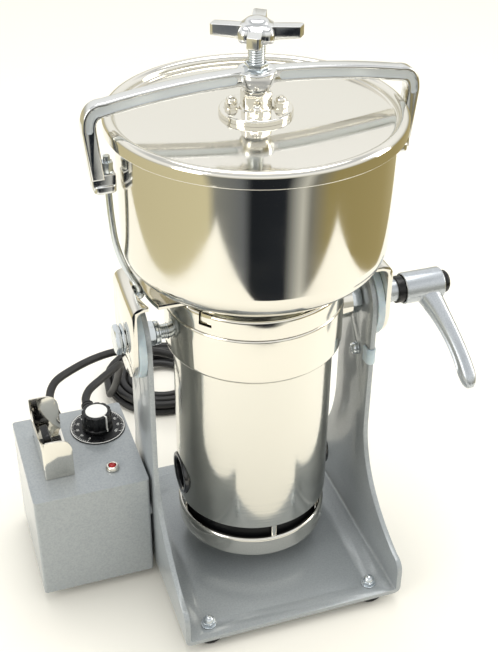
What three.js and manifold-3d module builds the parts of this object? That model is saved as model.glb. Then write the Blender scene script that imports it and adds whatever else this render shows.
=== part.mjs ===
// A swing-type electric food mill: a bowl with blades on top of an upright motor, hung in a bent
// plate stand so that it tips forward, with a control box at the left and its cables behind.
// Millimetres, +Z up, +X to the right, +Y to the back. While it is built, X = 0 is the motor's axis,
// Y = 0 the tilt axis and Z = 0 the table. At the end the whole is centred over its footprint.

import * as THREE from "three";
import { mergeVertices } from "three/addons/utils/BufferGeometryUtils.js";
import Module from "manifold-3d";

const wasm = await Module();
wasm.setup();

// Shared clearances
const gap = 0.3; // between pieces that touch
const runningGap = 0.4; // between pieces that turn or slide on each other
const overrun = 2; // how far a cut runs past a face

// How finely round pieces are faceted
const coarse = 10;
const medium = 18;
const fine = 32;

// Stand
const plate = 4;
const footHeight = 9;
const standHalfWidth = 93;
const baseFront = 115;
const baseBack = 95;
const uprightHalfDepth = 30;
const pivotHeight = 233.4;
const wingHeight = 30; // of the side plate at the front and back of the base
const wingCorner = 12;
const flareTop = 125; // where the flare has become the straight upright
const flareShares = [0.59, 0.18, 0.97, 0.51]; // control points: run, rise, run, rise
const bendRadius = 2.5; // inside radius of the plate's two bends
const footRadius = 12;
const footTaper = 1.5;
const footInsetX = 23;
const footInsetY = 14;
const footBoltRadius = 3;
const footNutFlats = 10;
const footNutHeight = 5;
const stopScrewDrop = 45.4; // from the pivot
const stopScrewSetback = 23; // from the upright's front edge
const stopScrewRadius = 3;
const stopScrewHead = 5;
const stopScrewReach = 6;
const clipHeight = 14;
const clipDepth = 8;
const clipWall = 1.6;
const clipDrop = 40; // from the pivot to the clip's middle

// Control box
const boxWidth = 93.6;
const boxDepth = 107.2;
const boxHeight = 100;
const boxLift = 9.4; // above the table
const boxFront = -24.5;
const boxToStand = 2.4;
const sheet = 1.5;
const boxCorner = 2.5;
const spacerRadius = 5;
const spacerDrop = 40; // from the box's top to its two spacers
const spacerSpacing = 30;

// Switch with its guard
const guardWidth = 24;
const guardDepth = 62;
const guardHeight = 37;
const guardSheet = 1.4;
const guardInset = 14; // from the box's left side
const guardSetback = 24.5; // from the box's front
const guardCorner = 13;
const guardDip = 3; // how far the long wall dips in the middle
const switchWidth = 15;
const switchDepth = 30;
const switchRim = 3;
const switchBodyDepth = 26;
const switchRimExtra = 2;
const paddleThickness = 8;
const paddleDepth = 20;
const paddleHeight = 25;
const paddleTilt = 0.21;
const paddleAxisDrop = 3; // from the switch's rim to the paddle's axis
const paddleTrunnion = 4;

// Speed dial
const dialInset = 25.1; // from the box's right side
const dialSetback = 28.7; // from the box's back
const dialRadius = 23.5;
const dialPlate = 0.9;
const knobRadius = 13;
const knobSkirt = 3;
const knobGripRadius = 11.4;
const knobHeight = 16;
const knobFlutes = 12;
const knobFluteDepth = 0.6;
const knobInlayRadius = 8.6;
const knobInlay = 0.6;
const pointerWidth = 1.6;
const pointerAngle = -1.05;
const potShaft = 3;
const potRadius = 8.5;
const potHeight = 9;
const potBush = 4.6;
const boardWidth = 52;
const boardToLamp = 8.4;
const boardBehindDial = 11;
const boardSheet = 1.6;
const heatSinkWidth = 30;
const heatSinkHeight = 22;
const heatSinkDepth = 29.4;
const heatSinkFin = 2;
const heatSinkFins = 5;

// Lamp
const lampSetback = 22.7; // from the box's front
const lampRadius = 5.6;
const lampRim = 2.4;
const lampBore = 3.4;
const lensRadius = 2.8;
const lensBody = 10;

// Glands and cords
const cordDiameter = 7.5;
const cordSides = 10;
const glandFlange = 9.5;
const glandFlangeThickness = 3;
const glandLength = 20;
const glandNeck = 5.6;
const glandDrop = 12.4; // from the box's top
const mainsGlandInset = 24.6; // from the box's right side
const motorGlandInset = 55.6;
const bootLength = 31;
const bootRadius = 9.5;
const bootTip = 5.6;
const bootRibs = 5;
const bootRibDepth = 1;
const bootAboveTube = 22.3;

// Motor
const motorRadius = 63.5;
const tubeWall = 2;
const tubeBottom = 65.7;
const capRadius = 63;
const capBottom = 32.5;
const capTop = 52;
const capWall = 3;
const capSlots = 10;
const capSlotWidth = 6;
const ventPosts = 8;
const ventPostRadius = 3;
const ventCoreRadius = 54; // the dark inner ring seen through the vent
const ventCoreWall = 2;
const hubRadius = 15;
const bearingOuter = 13;
const bearingHeight = 10;
const brushLift = 22.3; // above the tube's lower edge
const brushBore = 18;
const brushDepth = 14;
const brushRecess = 8;
const brushRecessRadius = 13;
const brushRadius = 3.5;
const statorHeight = 80;
const statorBore = 30;
const statorNotch = 9;
const statorTopShare = 0.92;

// Collar
const collarRadius = 70;
const collarBelowPivot = 18.4;
const seamAbovePivot = 22.6;
const collarAbovePivot = 39.6;
const collarChamfer = 4;
const collarStep = 1; // depth of the seam groove
const collarLid = 9; // thickness of the collar's top plate
const notchAngle = -2.43;
const notchWidth = 11;
const notchDepth = 5;
const notchHeight = 10;
const trunnionRadius = 15;
const trunnionReach = 9;

// Bracket
const strapWidth = 60;
const strapSheet = 4;
const bracketHalfWidth = 103.4;
const bracketBend = 3;
const neckHoleRadius = 22;

// Pivots
const boltRadius = 6;
const boltHeadFlats = 22;
const boltHeadHeight = 6.5;
const boltNutHeight = 5;
const innerNutHeight = 10;
const washerRadius = 12;
const washerThickness = 2.4;
const frictionRadius = 32;

// Clamping lever
const sleeveRadius = 9.5;
const sleeveLength = 17.3;
const skirtRadius = 13.5;
const skirtLength = 11;
const leverHubRadius = 13;
const leverHubLength = 33;
const leverCapRadius = 9;
const leverCapLength = 6.5;
const spigotRadius = 6;
const spigotLength = 16;
const leverLift = 4;
const leverReach = 82; // from the pivot to the tip's centre, across the axis
const leverAngle = -0.79; // below the horizontal, toward the front
const leverFlare = 30; // how far the arm leans outward along the axis
const leverSizes = [
  { along: 0.0, wide: 9.5, thick: 11 },
  { along: 0.16, wide: 9, thick: 10 },
  { along: 0.36, wide: 7.2, thick: 6.4 },
  { along: 0.62, wide: 6.6, thick: 5 },
  { along: 0.86, wide: 7.2, thick: 4.8 },
  { along: 1.0, wide: 7, thick: 4.4 },
  { along: 1.07, wide: 5.2, thick: 3.4 },
  { along: 1.11, wide: 2, thick: 1.6 },
].map((s) => ({ alongShare: s.along, wide: s.wide, thick: s.thick }));
const leverStart = 9; // where the arm leaves the hub's end

// Bowl
const bowlRadius = 100;
const bowlWall = 2.5;
const neckHeight = 9;
const bowlHeight = 111.5;
const bowlCorner = 24;
const bowlLip = 3.6;
const bowlLipThickness = 2.4;
const neckRadius = 50;
const shaftHole = 9;

// Lid
const rimGap = 1.2; // between the bowl's lip and the lid's skirt
const rimWall = 2.6;
const rimRadius = bowlRadius + bowlLip + rimGap + rimWall;
const rimRoll = 8.8; // how wide the rolled rim is
const rimBelowDish = 6.6;
const rimAboveDish = 4.6;
const dishRadius = rimRadius - rimRoll;
const lidSheet = 2.5;
const spigotInset = 0.6; // between the bowl's wall and the lid's inner ring
const spigotDepth = 8;
const spigotWall = 2;
const gasketHeight = 1.8;
const flangeRadius = 26.4;
const flangeThickness = 4;
const studCircle = 17.3;
const studCount = 3;
const domeNutFlats = 10;
const domeNutHex = 5.5;
const domeNutRadius = 4.6;
const socketRadius = 10.3;
const socketHeight = 13;

// Screw, knob and yoke
const spindleRadius = 6;
const yokeAboveSocket = 1.5;
const yokeBossRadius = 14.3;
const yokeBossLow = 12; // the boss is narrower at its foot
const yokeBossEdge = 2;
const yokeBossHeight = 13.5;
const insertRadius = 8;
const insertFlats = 14.8;
const insertHeight = 4.2;
const spindleShow = 15.8; // thread seen between the insert and the knob
const knobHub = 12.5;
const knobNeck = 3.5;
const knobArmThickness = 7.5;
const knobArmWidth = 9.7;
const knobArmReach = 31.5;
const knobDome = 4;
const knobTurn = -0.407;
const knobBevel = 1.4;
const yokeDepth = 10.5;
const yokeArm = 10.4;
const yokeLeg = 9.6;
const yokeDroop = 13.3; // from the middle to the shoulders
const yokeToRim = 16.2; // from the lid's rim to the outside of the legs
const yokeHalfWidth = rimRadius + yokeToRim;
const yokeShoulderRadius = 16;
const yokeLegLean = 3.7;
const yokeLegDrop = 62.7; // from the shoulder's top down to the foot's underside
const yokeBevel = 1.5;
const panelRim = 2.3; // rim left round the recessed panels
const panelDepth = 1.4;
const panelInner = 19; // from the axis to the panel's inner end
const footLength = 17.5;
const footDepth = 13;
const footThickness = 7.9;
const footLower = 6;

// Tie rods
const rodRadius = 2.5;
const rodToBowl = 7.8; // from the bowl's wall to the rod's axis
const rodClearance = 0.6; // between the rod and the bowl's corner
const rodTopX = bowlRadius + rodToBowl;
const rodBottomX = 91.1;
const rodSlotSlack = 1.2; // room for the rod's slant while the yoke drops
const rodHeadRadius = 5;
const rodHeadHeight = 4.4;
const rodNutFlats = 8;
const rodNutHeight = 8;
const rodStud = 4;
const rodBulge = [
  { across: 0.95, up: 0.72 },
  { across: 0.83, up: 0.474 },
  { across: 0.55, up: 0.256 },
  { across: 0.3, up: 0.136 },
].map((s) => ({ acrossShare: s.across, upShare: s.up })); // from the rod's lower end

// Rotor
const shaftRadius = 6;
const shaftSteps = 2;
const armatureRadius = 28;
const armatureSlots = 12;
const armatureSlotWidth = 4;
const armatureSlotDepth = 7;
const commutatorRadius = 15;
const commutatorLength = 22;
const fanRadius = 48;
const fanBlades = 9;
const fanHeight = 12;
const fanSheet = 2;
const bladeTipGap = 12; // from the blade's tip to the outside of the bowl
const bladeLength = 2 * (bowlRadius - bladeTipGap);
const bladeWidth = 20;
const bladeSheet = 2.6;
const bladeLift = 8; // above the bowl's floor
const bladeSpacing = 9;
const bladeTipRise = 9;
const bladeTipShare = 0.72; // of the half length, where the tip bends up
const bladePointShare = 0.35; // of the width, left at the tip
const upperBladeShare = 0.84;
const bladeNutFlats = 19;
const bladeNutHeight = 10;

// Mains lead: the bundle of loops and the plug
const loopGap = 0.65;
const loopsPerLayer = 3;
const loopInner = 33;
const loopPull = 4; // how far the turning half loop is pulled inward
const loopSteps = 24;
const loopSides = 6;
const plugRadius = 18;
const plugLength = 34;
const plugBootLength = 22;
const plugBootTip = 5.4;
const pinRadius = 2.4;
const pinLength = 19;
const pinSpacing = 19;

// Places worked out from the sizes above
const standInside = standHalfWidth - plate;
const baseTop = footHeight + plate;
const uprightTop = pivotHeight + uprightHalfDepth;
const boxRight = -standHalfWidth - boxToStand;
const boxLeft = boxRight - boxWidth;
const boxBack = boxFront + boxDepth;
const boxTop = boxLift + boxHeight;
const guardX = boxLeft + guardInset + guardWidth / 2;
const guardY = boxFront + guardSetback + guardDepth / 2;
const dialX = boxRight - dialInset;
const dialY = boxBack - dialSetback;
const lampX = dialX;
const lampY = boxFront + lampSetback;
const glandZ = boxTop - glandDrop;
const glandTipY = boxBack + glandLength;
const mainsGlandX = boxRight - mainsGlandInset;
const motorGlandX = boxRight - motorGlandInset;
const stopScrewHeight = pivotHeight - stopScrewDrop;
const collarBottom = pivotHeight - collarBelowPivot;
const collarSeam = pivotHeight + seamAbovePivot;
const collarTop = pivotHeight + collarAbovePivot;
const tubeTop = collarSeam - plate;
const brushZ = tubeBottom + brushLift;
const bootZ = tubeBottom + bootAboveTube;
const bootTipY = motorRadius + bootLength;
const strapBottom = collarTop + gap;
const strapTop = strapBottom + strapSheet;
const earInside = bracketHalfWidth - strapSheet;
const neckTop = strapTop + neckHeight;
const bowlBottom = neckTop + gap;
const bowlTop = bowlBottom + bowlHeight;
const gasketBottom = bowlTop + gap;
const dishBottom = gasketBottom + gasketHeight + gap;
const dishTop = dishBottom + lidSheet;
const flangeTop = dishTop + gap + flangeThickness;
const socketTop = flangeTop + socketHeight;
const yokeBossBottom = socketTop + yokeAboveSocket;
const yokeBossTop = yokeBossBottom + yokeBossHeight;
const insertTop = yokeBossTop + insertHeight;
const crossKnobBottom = insertTop + spindleShow;
const yokeFootBottom = yokeBossTop - yokeDroop - yokeLegDrop;
const rodHeadTop = strapBottom - gap - gap;
const rodHeadBottom = rodHeadTop - rodHeadHeight;
const coilPitch = cordDiameter + loopGap;
const loopOuter = loopInner + loopsPerLayer * coilPitch;

// Materials
function finish(color, roughness, metalness) {
  return new THREE.MeshStandardMaterial({ color, roughness, metalness });
}

const hammertone = finish(0x6f767b, 0.45, 0.3);
const polished = finish(0xd9d9d6, 0.12, 1);
const brushed = finish(0xb9b9b4, 0.32, 1);
const castAluminium = finish(0xc4c6c8, 0.25, 1);
const plainSteel = finish(0xb4b8bb, 0.35, 1);
const blackPlastic = finish(0x16171a, 0.5, 0);
const blackRubber = finish(0x1b1b1b, 0.75, 0);
const nylon = finish(0xbcd2e6, 0.5, 0);
const clearNylon = finish(0x8f9698, 0.45, 0);
const silverPaint = finish(0xc9ced2, 0.35, 0.4);
const redLens = finish(0xd01818, 0.25, 0);
const boardGreen = finish(0x2f6b46, 0.6, 0);
const copper = finish(0xb06a3a, 0.4, 1);
const ironSheets = finish(0x4c5054, 0.5, 0.8);
const sealRubber = finish(0xd8d6d0, 0.7, 0);

// Helpers: solids, joins and cuts

function solid(geometry) {
  const bare = geometry.index ? geometry.toNonIndexed() : geometry.clone();
  bare.deleteAttribute("normal");
  bare.deleteAttribute("uv");
  const merged = mergeVertices(bare, 1e-4);
  return new wasm.Manifold(new wasm.Mesh({
    numProp: 3,
    vertProperties: new Float32Array(merged.attributes.position.array),
    triVerts: new Uint32Array(merged.index.array),
  }));
}

function geometryOf(manifold) {
  const mesh = manifold.getMesh();
  const geometry = new THREE.BufferGeometry();
  geometry.setAttribute("position", new THREE.BufferAttribute(new Float32Array(mesh.vertProperties), 3));
  geometry.setIndex(new THREE.BufferAttribute(new Uint32Array(mesh.triVerts), 1));
  geometry.computeVertexNormals();
  return geometry;
}

function join(first, ...others) {
  return geometryOf(others.reduce((whole, part) => whole.add(solid(part)), solid(first)));
}

function cut(first, ...others) {
  return geometryOf(others.reduce((whole, part) => whole.subtract(solid(part)), solid(first)));
}

function common(first, ...others) {
  return geometryOf(others.reduce((whole, part) => whole.intersect(solid(part)), solid(first)));
}

function moved(geometry, x, y, z) {
  return geometry.clone().translate(x, y, z);
}

// A block given by its low and high corners
function block(x0, x1, y0, y1, z0, z1) {
  const geometry = new THREE.BoxGeometry(x1 - x0, y1 - y0, z1 - z0);
  return geometry.translate((x0 + x1) / 2, (y0 + y1) / 2, (z0 + z1) / 2);
}

// A round bar from z0 to z1
function bar(radius, z0, z1, sides = medium) {
  const geometry = new THREE.CylinderGeometry(radius, radius, z1 - z0, sides);
  return geometry.rotateX(Math.PI / 2).translate(0, 0, (z0 + z1) / 2);
}

// A six-sided bar from z0 to z1
function hexBar(flats, z0, z1) {
  return bar(flats / Math.sqrt(3), z0, z1, 6);
}

// A turned piece from its (radius, height) outline
function turned(outline, sides = fine) {
  const points = outline.map(([r, z]) => new THREE.Vector2(r, z));
  return new THREE.LatheGeometry(points, sides).rotateX(Math.PI / 2);
}

// A turned ring from a closed outline
function turnedRing(outline, sides = fine) {
  return turned([...outline, outline[0]], sides);
}

// A dome standing on a short round neck
function domeOn(radius, z0, z1) {
  const arc = Array.from({ length: 4 }, (_, i) => {
    const angle = (i / 4) * (Math.PI / 2);
    return [radius * Math.cos(angle), z1 + radius * Math.sin(angle)];
  });
  return turned([[0, z0], [radius, z0], ...arc, [0, z1 + radius]], coarse);
}

function tubeRing(inner, outer, z0, z1, sides = fine) {
  return turnedRing([[inner, z0], [outer, z0], [outer, z1], [inner, z1]], sides);
}

// Stands an upright piece on its side, so that its height runs along +X
function alongX(geometry) {
  return geometry.clone().rotateY(Math.PI / 2);
}

// Lays an upright piece down, so that its height runs along +Y
function alongY(geometry) {
  return geometry.clone().rotateX(-Math.PI / 2);
}

// A plan outline raised from z0 to z1
function raised(shape, z0, z1, curveSegments = 6) {
  const geometry = new THREE.ExtrudeGeometry(shape, { depth: z1 - z0, bevelEnabled: false, curveSegments });
  return geometry.translate(0, 0, z0);
}

// An outline in the YZ plane carried from x0 to x1
function carriedX(shape, x0, x1, curveSegments = 8) {
  const geometry = raised(shape, 0, x1 - x0, curveSegments);
  return geometry.rotateX(Math.PI / 2).rotateZ(Math.PI / 2).translate(x0, 0, 0);
}

// An outline in the XZ plane carried from y0 to y1
function carriedY(shape, y0, y1, curveSegments = 12) {
  const geometry = raised(shape, 0, y1 - y0, curveSegments);
  return geometry.rotateX(Math.PI / 2).translate(0, y1, 0);
}

// The same with its long edges bevelled
function bevelledY(shape, y0, y1, bevel, curveSegments = 12) {
  const depth = y1 - y0 - 2 * bevel;
  const options = {
    depth, bevelEnabled: true, bevelThickness: bevel, bevelSize: bevel,
    bevelOffset: -bevel, bevelSegments: 2, curveSegments,
  };
  const geometry = new THREE.ExtrudeGeometry(shape, options);
  return geometry.rotateX(Math.PI / 2).translate(0, y1 - bevel, 0);
}

function roundedRectangle(x0, x1, y0, y1, r) {
  const shape = new THREE.Shape();
  shape.moveTo(x0 + r, y0);
  shape.lineTo(x1 - r, y0);
  shape.absarc(x1 - r, y0 + r, r, -Math.PI / 2, 0, false);
  shape.lineTo(x1, y1 - r);
  shape.absarc(x1 - r, y1 - r, r, 0, Math.PI / 2, false);
  shape.lineTo(x0 + r, y1);
  shape.absarc(x0 + r, y1 - r, r, Math.PI / 2, Math.PI, false);
  shape.lineTo(x0, y0 + r);
  shape.absarc(x0 + r, y0 + r, r, Math.PI, 1.5 * Math.PI, false);
  return shape;
}

function pathFrom(points) {
  return new THREE.CatmullRomCurve3(points.map(([x, y, z]) => new THREE.Vector3(x, y, z)), false, "centripetal");
}

// A round cord along a path, with a step every two to three diameters
function cordAlong(path, sides = cordSides) {
  const shape = new THREE.Shape();
  shape.absarc(0, 0, cordDiameter / 2, 0, 2 * Math.PI, false);
  const steps = Math.ceil(path.getLength() / (2 * cordDiameter));
  return new THREE.ExtrudeGeometry(shape, { steps, extrudePath: path, curveSegments: sides / 2 });
}

// A closed skin through rings of points, with flat ends
function skin(rings) {
  const sides = rings[0].length;
  const positions = rings.flat().flatMap((p) => [p.x, p.y, p.z]);
  const index = [];
  for (let k = 0; k < rings.length - 1; k += 1) {
    for (let i = 0; i < sides; i += 1) {
      const a = k * sides + i;
      const b = k * sides + ((i + 1) % sides);
      index.push(a, a + sides, b, b, a + sides, b + sides);
    }
  }
  const last = (rings.length - 1) * sides;
  for (let i = 1; i < sides - 1; i += 1) {
    index.push(0, i, i + 1);
    index.push(last, last + i + 1, last + i);
  }
  const geometry = new THREE.BufferGeometry();
  geometry.setAttribute("position", new THREE.Float32BufferAttribute(positions, 3));
  geometry.setIndex(index);
  geometry.computeVertexNormals();
  return geometry;
}

function ringAround(centre, across, upward, wide, thick, sides) {
  return Array.from({ length: sides }, (_, i) => {
    const angle = (2 * Math.PI * i) / sides;
    const point = centre.clone().addScaledVector(across, wide * Math.cos(angle));
    return point.addScaledVector(upward, thick * Math.sin(angle));
  });
}

const mill = new THREE.Group();
mill.name = "food_mill";
const cordNames = ["mains_lead", "mains_coil", "mains_tail", "mains_plug", "motor_cable"];

function piece(name, geometry, material) {
  const mesh = new THREE.Mesh(geometry, material);
  mesh.name = name;
  mill.add(mesh);
  return mesh;
}

// Stand: a U of plate cut to the side outline, with its holes

function standSide() {
  const shape = new THREE.Shape();
  const foot = footHeight;
  const shoulder = wingHeight + wingCorner;
  const wing = (side, reach) => {
    const start = side * (reach - wingCorner);
    const run = side * uprightHalfDepth - start;
    const rise = flareTop - shoulder;
    const at = (acrossShare, upShare) => [start + run * acrossShare, shoulder + rise * upShare];
    return { start, first: at(flareShares[0], flareShares[1]), second: at(flareShares[2], flareShares[3]) };
  };
  const front = wing(-1, baseFront);
  const back = wing(1, baseBack);
  shape.moveTo(-baseFront, foot);
  shape.lineTo(baseBack, foot);
  shape.lineTo(baseBack, wingHeight);
  shape.quadraticCurveTo(baseBack, shoulder, back.start, shoulder);
  shape.bezierCurveTo(...back.first, ...back.second, uprightHalfDepth, flareTop);
  shape.lineTo(uprightHalfDepth, pivotHeight);
  shape.absarc(0, pivotHeight, uprightHalfDepth, 0, Math.PI, false);
  shape.lineTo(-uprightHalfDepth, flareTop);
  shape.bezierCurveTo(...front.second, ...front.first, front.start, shoulder);
  shape.quadraticCurveTo(-baseFront, shoulder, -baseFront, wingHeight);
  return shape;
}

// A U or an upside-down U of sheet, seen from the front
function channelSection(halfWidth, thickness, inside, open, closed) {
  const up = Math.sign(open - closed);
  const outer = inside + thickness;
  const inner = halfWidth - thickness;
  const shape = new THREE.Shape();
  shape.moveTo(-halfWidth, open);
  shape.lineTo(-halfWidth, closed + up * outer);
  shape.quadraticCurveTo(-halfWidth, closed, -halfWidth + outer, closed);
  shape.lineTo(halfWidth - outer, closed);
  shape.quadraticCurveTo(halfWidth, closed, halfWidth, closed + up * outer);
  shape.lineTo(halfWidth, open);
  shape.lineTo(inner, open);
  shape.lineTo(inner, closed + up * outer);
  shape.quadraticCurveTo(inner, closed + up * thickness, inner - inside, closed + up * thickness);
  shape.lineTo(-inner + inside, closed + up * thickness);
  shape.quadraticCurveTo(-inner, closed + up * thickness, -inner, closed + up * outer);
  shape.lineTo(-inner, open);
  return shape;
}

const feet = [-1, 1].flatMap((sideX) => [
  [sideX * (standHalfWidth - footInsetX), -baseFront + footInsetY],
  [sideX * (standHalfWidth - footInsetX), baseBack - footInsetY],
]);
const stopScrewY = -uprightHalfDepth + stopScrewSetback;

function standFrame() {
  const section = channelSection(standHalfWidth, plate, bendRadius, uprightTop + overrun, footHeight);
  const channel = carriedY(section, -baseFront - overrun, baseBack + overrun, 4);
  const outline = carriedX(standSide(), -standHalfWidth - overrun, standHalfWidth + overrun);
  const reach = standHalfWidth + overrun;
  const pivotHole = alongX(bar(boltRadius + runningGap, -reach, reach));
  const footHoles = feet.map(([x, y]) => moved(bar(footBoltRadius + gap, 0, baseTop + overrun, coarse), x, y, 0));
  const screwHole = alongX(bar(stopScrewRadius + gap, 0, reach, coarse));
  return cut(
    common(channel, outline),
    moved(pivotHole, 0, 0, pivotHeight),
    moved(screwHole, 0, stopScrewY, stopScrewHeight),
    ...footHoles,
  );
}

piece("stand_frame", standFrame(), hammertone);

// A foot: rubber disc, bolt through the base, hexagon and dome above it
function rubberFoot() {
  const top = baseTop + gap;
  const boltEnd = top + footNutHeight;
  const rubber = turned([
    [0, 0], [footRadius - footTaper, 0], [footRadius, footHeight - gap], [0, footHeight - gap],
  ], medium);
  const bolt = bar(footBoltRadius, footHeight / 2, boltEnd, coarse);
  const hexagon = hexBar(footNutFlats, top, top + footNutHeight / 2);
  return join(rubber, bolt, hexagon, domeOn(footNutFlats / 2 - gap, top, top + footNutHeight / 2));
}

feet.forEach(([x, y], i) => {
  piece(`rubber_foot_${i + 1}`, rubberFoot(), blackRubber).position.set(x, y, 0);
});

// The stop screw's head stands inside the right upright and its nut outside
function stopScrew() {
  const shank = bar(stopScrewRadius, -plate - gap - stopScrewReach, stopScrewReach, coarse);
  const head = bar(stopScrewHead, -plate - gap - stopScrewReach, -plate - gap - stopScrewReach / 2, coarse);
  const washer = bar(stopScrewHead, -plate - gap - stopScrewRadius / 2, -plate - gap, coarse);
  const nut = hexBar(2 * stopScrewHead, gap, gap + stopScrewRadius);
  return alongX(join(shank, head, washer, nut));
}

piece("stop_screw", stopScrew(), plainSteel).position.set(standHalfWidth, stopScrewY, stopScrewHeight);

// A slit nylon clip pushed over the right upright's front edge
function edgeClip() {
  const half = clipHeight / 2;
  const wide = plate / 2 + gap + clipWall;
  const body = block(-wide, wide, -clipWall - gap, clipDepth, -half, half);
  const slot = block(-plate / 2 - gap, plate / 2 + gap, -gap, clipDepth + overrun, -half - overrun, half + overrun);
  return cut(body, slot);
}

piece("edge_clip", edgeClip(), clearNylon)
  .position.set(standHalfWidth - plate / 2, -uprightHalfDepth, pivotHeight - clipDrop);

// Control box: a folded case open below, with its cover, and what is mounted on its top

function controlBox() {
  const outer = raised(roundedRectangle(boxLeft, boxRight, boxFront, boxBack, boxCorner), boxLift, boxTop, 4);
  const inner = raised(
    roundedRectangle(boxLeft + sheet, boxRight - sheet, boxFront + sheet, boxBack - sheet, boxCorner - sheet),
    boxLift - overrun, boxTop - sheet, 4,
  );
  const hole = (radius, x, y) => moved(bar(radius + gap, boxTop - sheet - overrun, boxTop + overrun, coarse), x, y, 0);
  const glandHole = (x) => {
    const round = alongY(bar(glandNeck + gap, -sheet - overrun, overrun, coarse));
    return moved(round, x, boxBack, glandZ);
  };
  const switchHole = block(
    guardX - switchWidth / 2 - gap, guardX + switchWidth / 2 + gap,
    guardY - switchDepth / 2 - gap, guardY + switchDepth / 2 + gap,
    boxTop - sheet - overrun, boxTop + overrun,
  );
  const spacers = [-1, 1].map((side) => {
    const stub = alongX(bar(spacerRadius, -sheet, boxToStand - gap, coarse));
    return moved(stub, boxRight, side * spacerSpacing / 2, boxTop - spacerDrop);
  });
  return join(
    cut(
      outer, inner, switchHole,
      hole(potBush, dialX, dialY), hole(lampBore, lampX, lampY),
      glandHole(mainsGlandX), glandHole(motorGlandX),
    ),
    ...spacers,
  );
}

piece("control_box", controlBox(), hammertone);

function boxCover() {
  const inset = sheet + gap;
  const outline = roundedRectangle(boxLeft + inset, boxRight - inset, boxFront + inset, boxBack - inset, sheet);
  return raised(outline, boxLift, boxLift + sheet, 4);
}

piece("box_cover", boxCover(), hammertone);

// The guard is a C of bright sheet, open toward the dial, on a foot of the same sheet
function switchGuard() {
  const half = guardDepth / 2;
  const floor = boxTop + gap;
  const low = floor;
  const high = floor + guardHeight;
  const section = roundedRectangle(-guardWidth / 2, guardWidth, -half, half, guardSheet + gap);
  const hollow = block(
    -guardWidth / 2 + guardSheet, guardWidth + overrun,
    -half + guardSheet, half - guardSheet, low + guardSheet, high + overrun,
  );
  const side = new THREE.Shape();
  side.moveTo(-guardWidth, low - overrun);
  side.lineTo(guardWidth / 2, low - overrun);
  side.lineTo(guardWidth / 2, high - guardCorner);
  side.quadraticCurveTo(guardWidth / 2, high, guardWidth / 2 - guardCorner, high);
  side.lineTo(-guardWidth, high);
  const dip = new THREE.Shape();
  dip.moveTo(-half - overrun, high + overrun);
  dip.lineTo(-half - overrun, high);
  dip.lineTo(-half + guardCorner, high);
  dip.quadraticCurveTo(0, high - 2 * guardDip, half - guardCorner, high);
  dip.lineTo(half + overrun, high);
  dip.lineTo(half + overrun, high + overrun);
  const opening = block(
    -switchWidth / 2 - gap, switchWidth / 2 + gap, -switchDepth / 2 - gap, switchDepth / 2 + gap,
    low - overrun, low + guardSheet + overrun,
  );
  return cut(
    common(raised(section, low, high, 4), carriedY(side, -half - overrun, half + overrun)),
    hollow,
    carriedX(dip, -guardWidth, -guardWidth / 2 + guardSheet + overrun),
    opening,
  );
}

piece("switch_guard", switchGuard(), polished).position.set(guardX, guardY, 0);

const switchTop = boxTop + gap + guardSheet + gap + switchRim;
const paddleAxisZ = switchTop - paddleAxisDrop;

function switchBody() {
  const inside = switchWidth / 2;
  const rim = inside + switchRimExtra;
  const bottom = boxTop - switchBodyDepth;
  const rimBottom = switchTop - switchRim;
  const lower = block(-inside, inside, -switchDepth / 2, switchDepth / 2, bottom, switchTop - gap);
  const flange = block(
    -rim, rim, -switchDepth / 2 - switchRimExtra, switchDepth / 2 + switchRimExtra, rimBottom, switchTop,
  );
  const well = block(
    -paddleThickness / 2 - runningGap - switchRimExtra, paddleThickness / 2 + runningGap + switchRimExtra,
    -paddleDepth / 2 - runningGap, paddleDepth / 2 + runningGap,
    paddleAxisZ - paddleThickness, switchTop + overrun,
  );
  const trunnions = alongY(bar(
    paddleTrunnion / 2 + runningGap,
    -paddleDepth / 2 - paddleTrunnion - runningGap, paddleDepth / 2 + paddleTrunnion + runningGap, coarse,
  ));
  return cut(join(lower, flange), well, moved(trunnions, 0, 0, paddleAxisZ));
}

piece("switch_body", switchBody(), blackPlastic).position.set(guardX, guardY, 0);

// A flat toggle with rounded top corners, tipped to one side
function switchPaddle() {
  const half = paddleDepth / 2;
  const crown = paddleThickness / 2;
  const outline = new THREE.Shape();
  outline.moveTo(-half, -crown / 2);
  outline.lineTo(half, -crown / 2);
  outline.lineTo(half, paddleHeight - crown);
  outline.quadraticCurveTo(half, paddleHeight, half - crown, paddleHeight);
  outline.lineTo(-half + crown, paddleHeight);
  outline.quadraticCurveTo(-half, paddleHeight, -half, paddleHeight - crown);
  const round = alongY(bar(crown, -half, half, coarse));
  const pin = alongY(bar(paddleTrunnion / 2, -half - paddleTrunnion, half + paddleTrunnion, coarse));
  const waist = carriedX(outline, -crown / 2 - crown / 4, crown / 2 + crown / 4, 4);
  return join(waist, round, pin).rotateY(-paddleTilt);
}

piece("switch_paddle", switchPaddle(), blackPlastic).position.set(guardX, guardY, paddleAxisZ);

// The dial plate carries plain numbers only, which its finish adds
const dialTop = boxTop + gap + dialPlate;
piece(
  "dial_plate",
  tubeRing(potBush + gap, dialRadius, boxTop + gap, dialTop),
  blackPlastic,
).position.set(dialX, dialY, 0);

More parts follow.
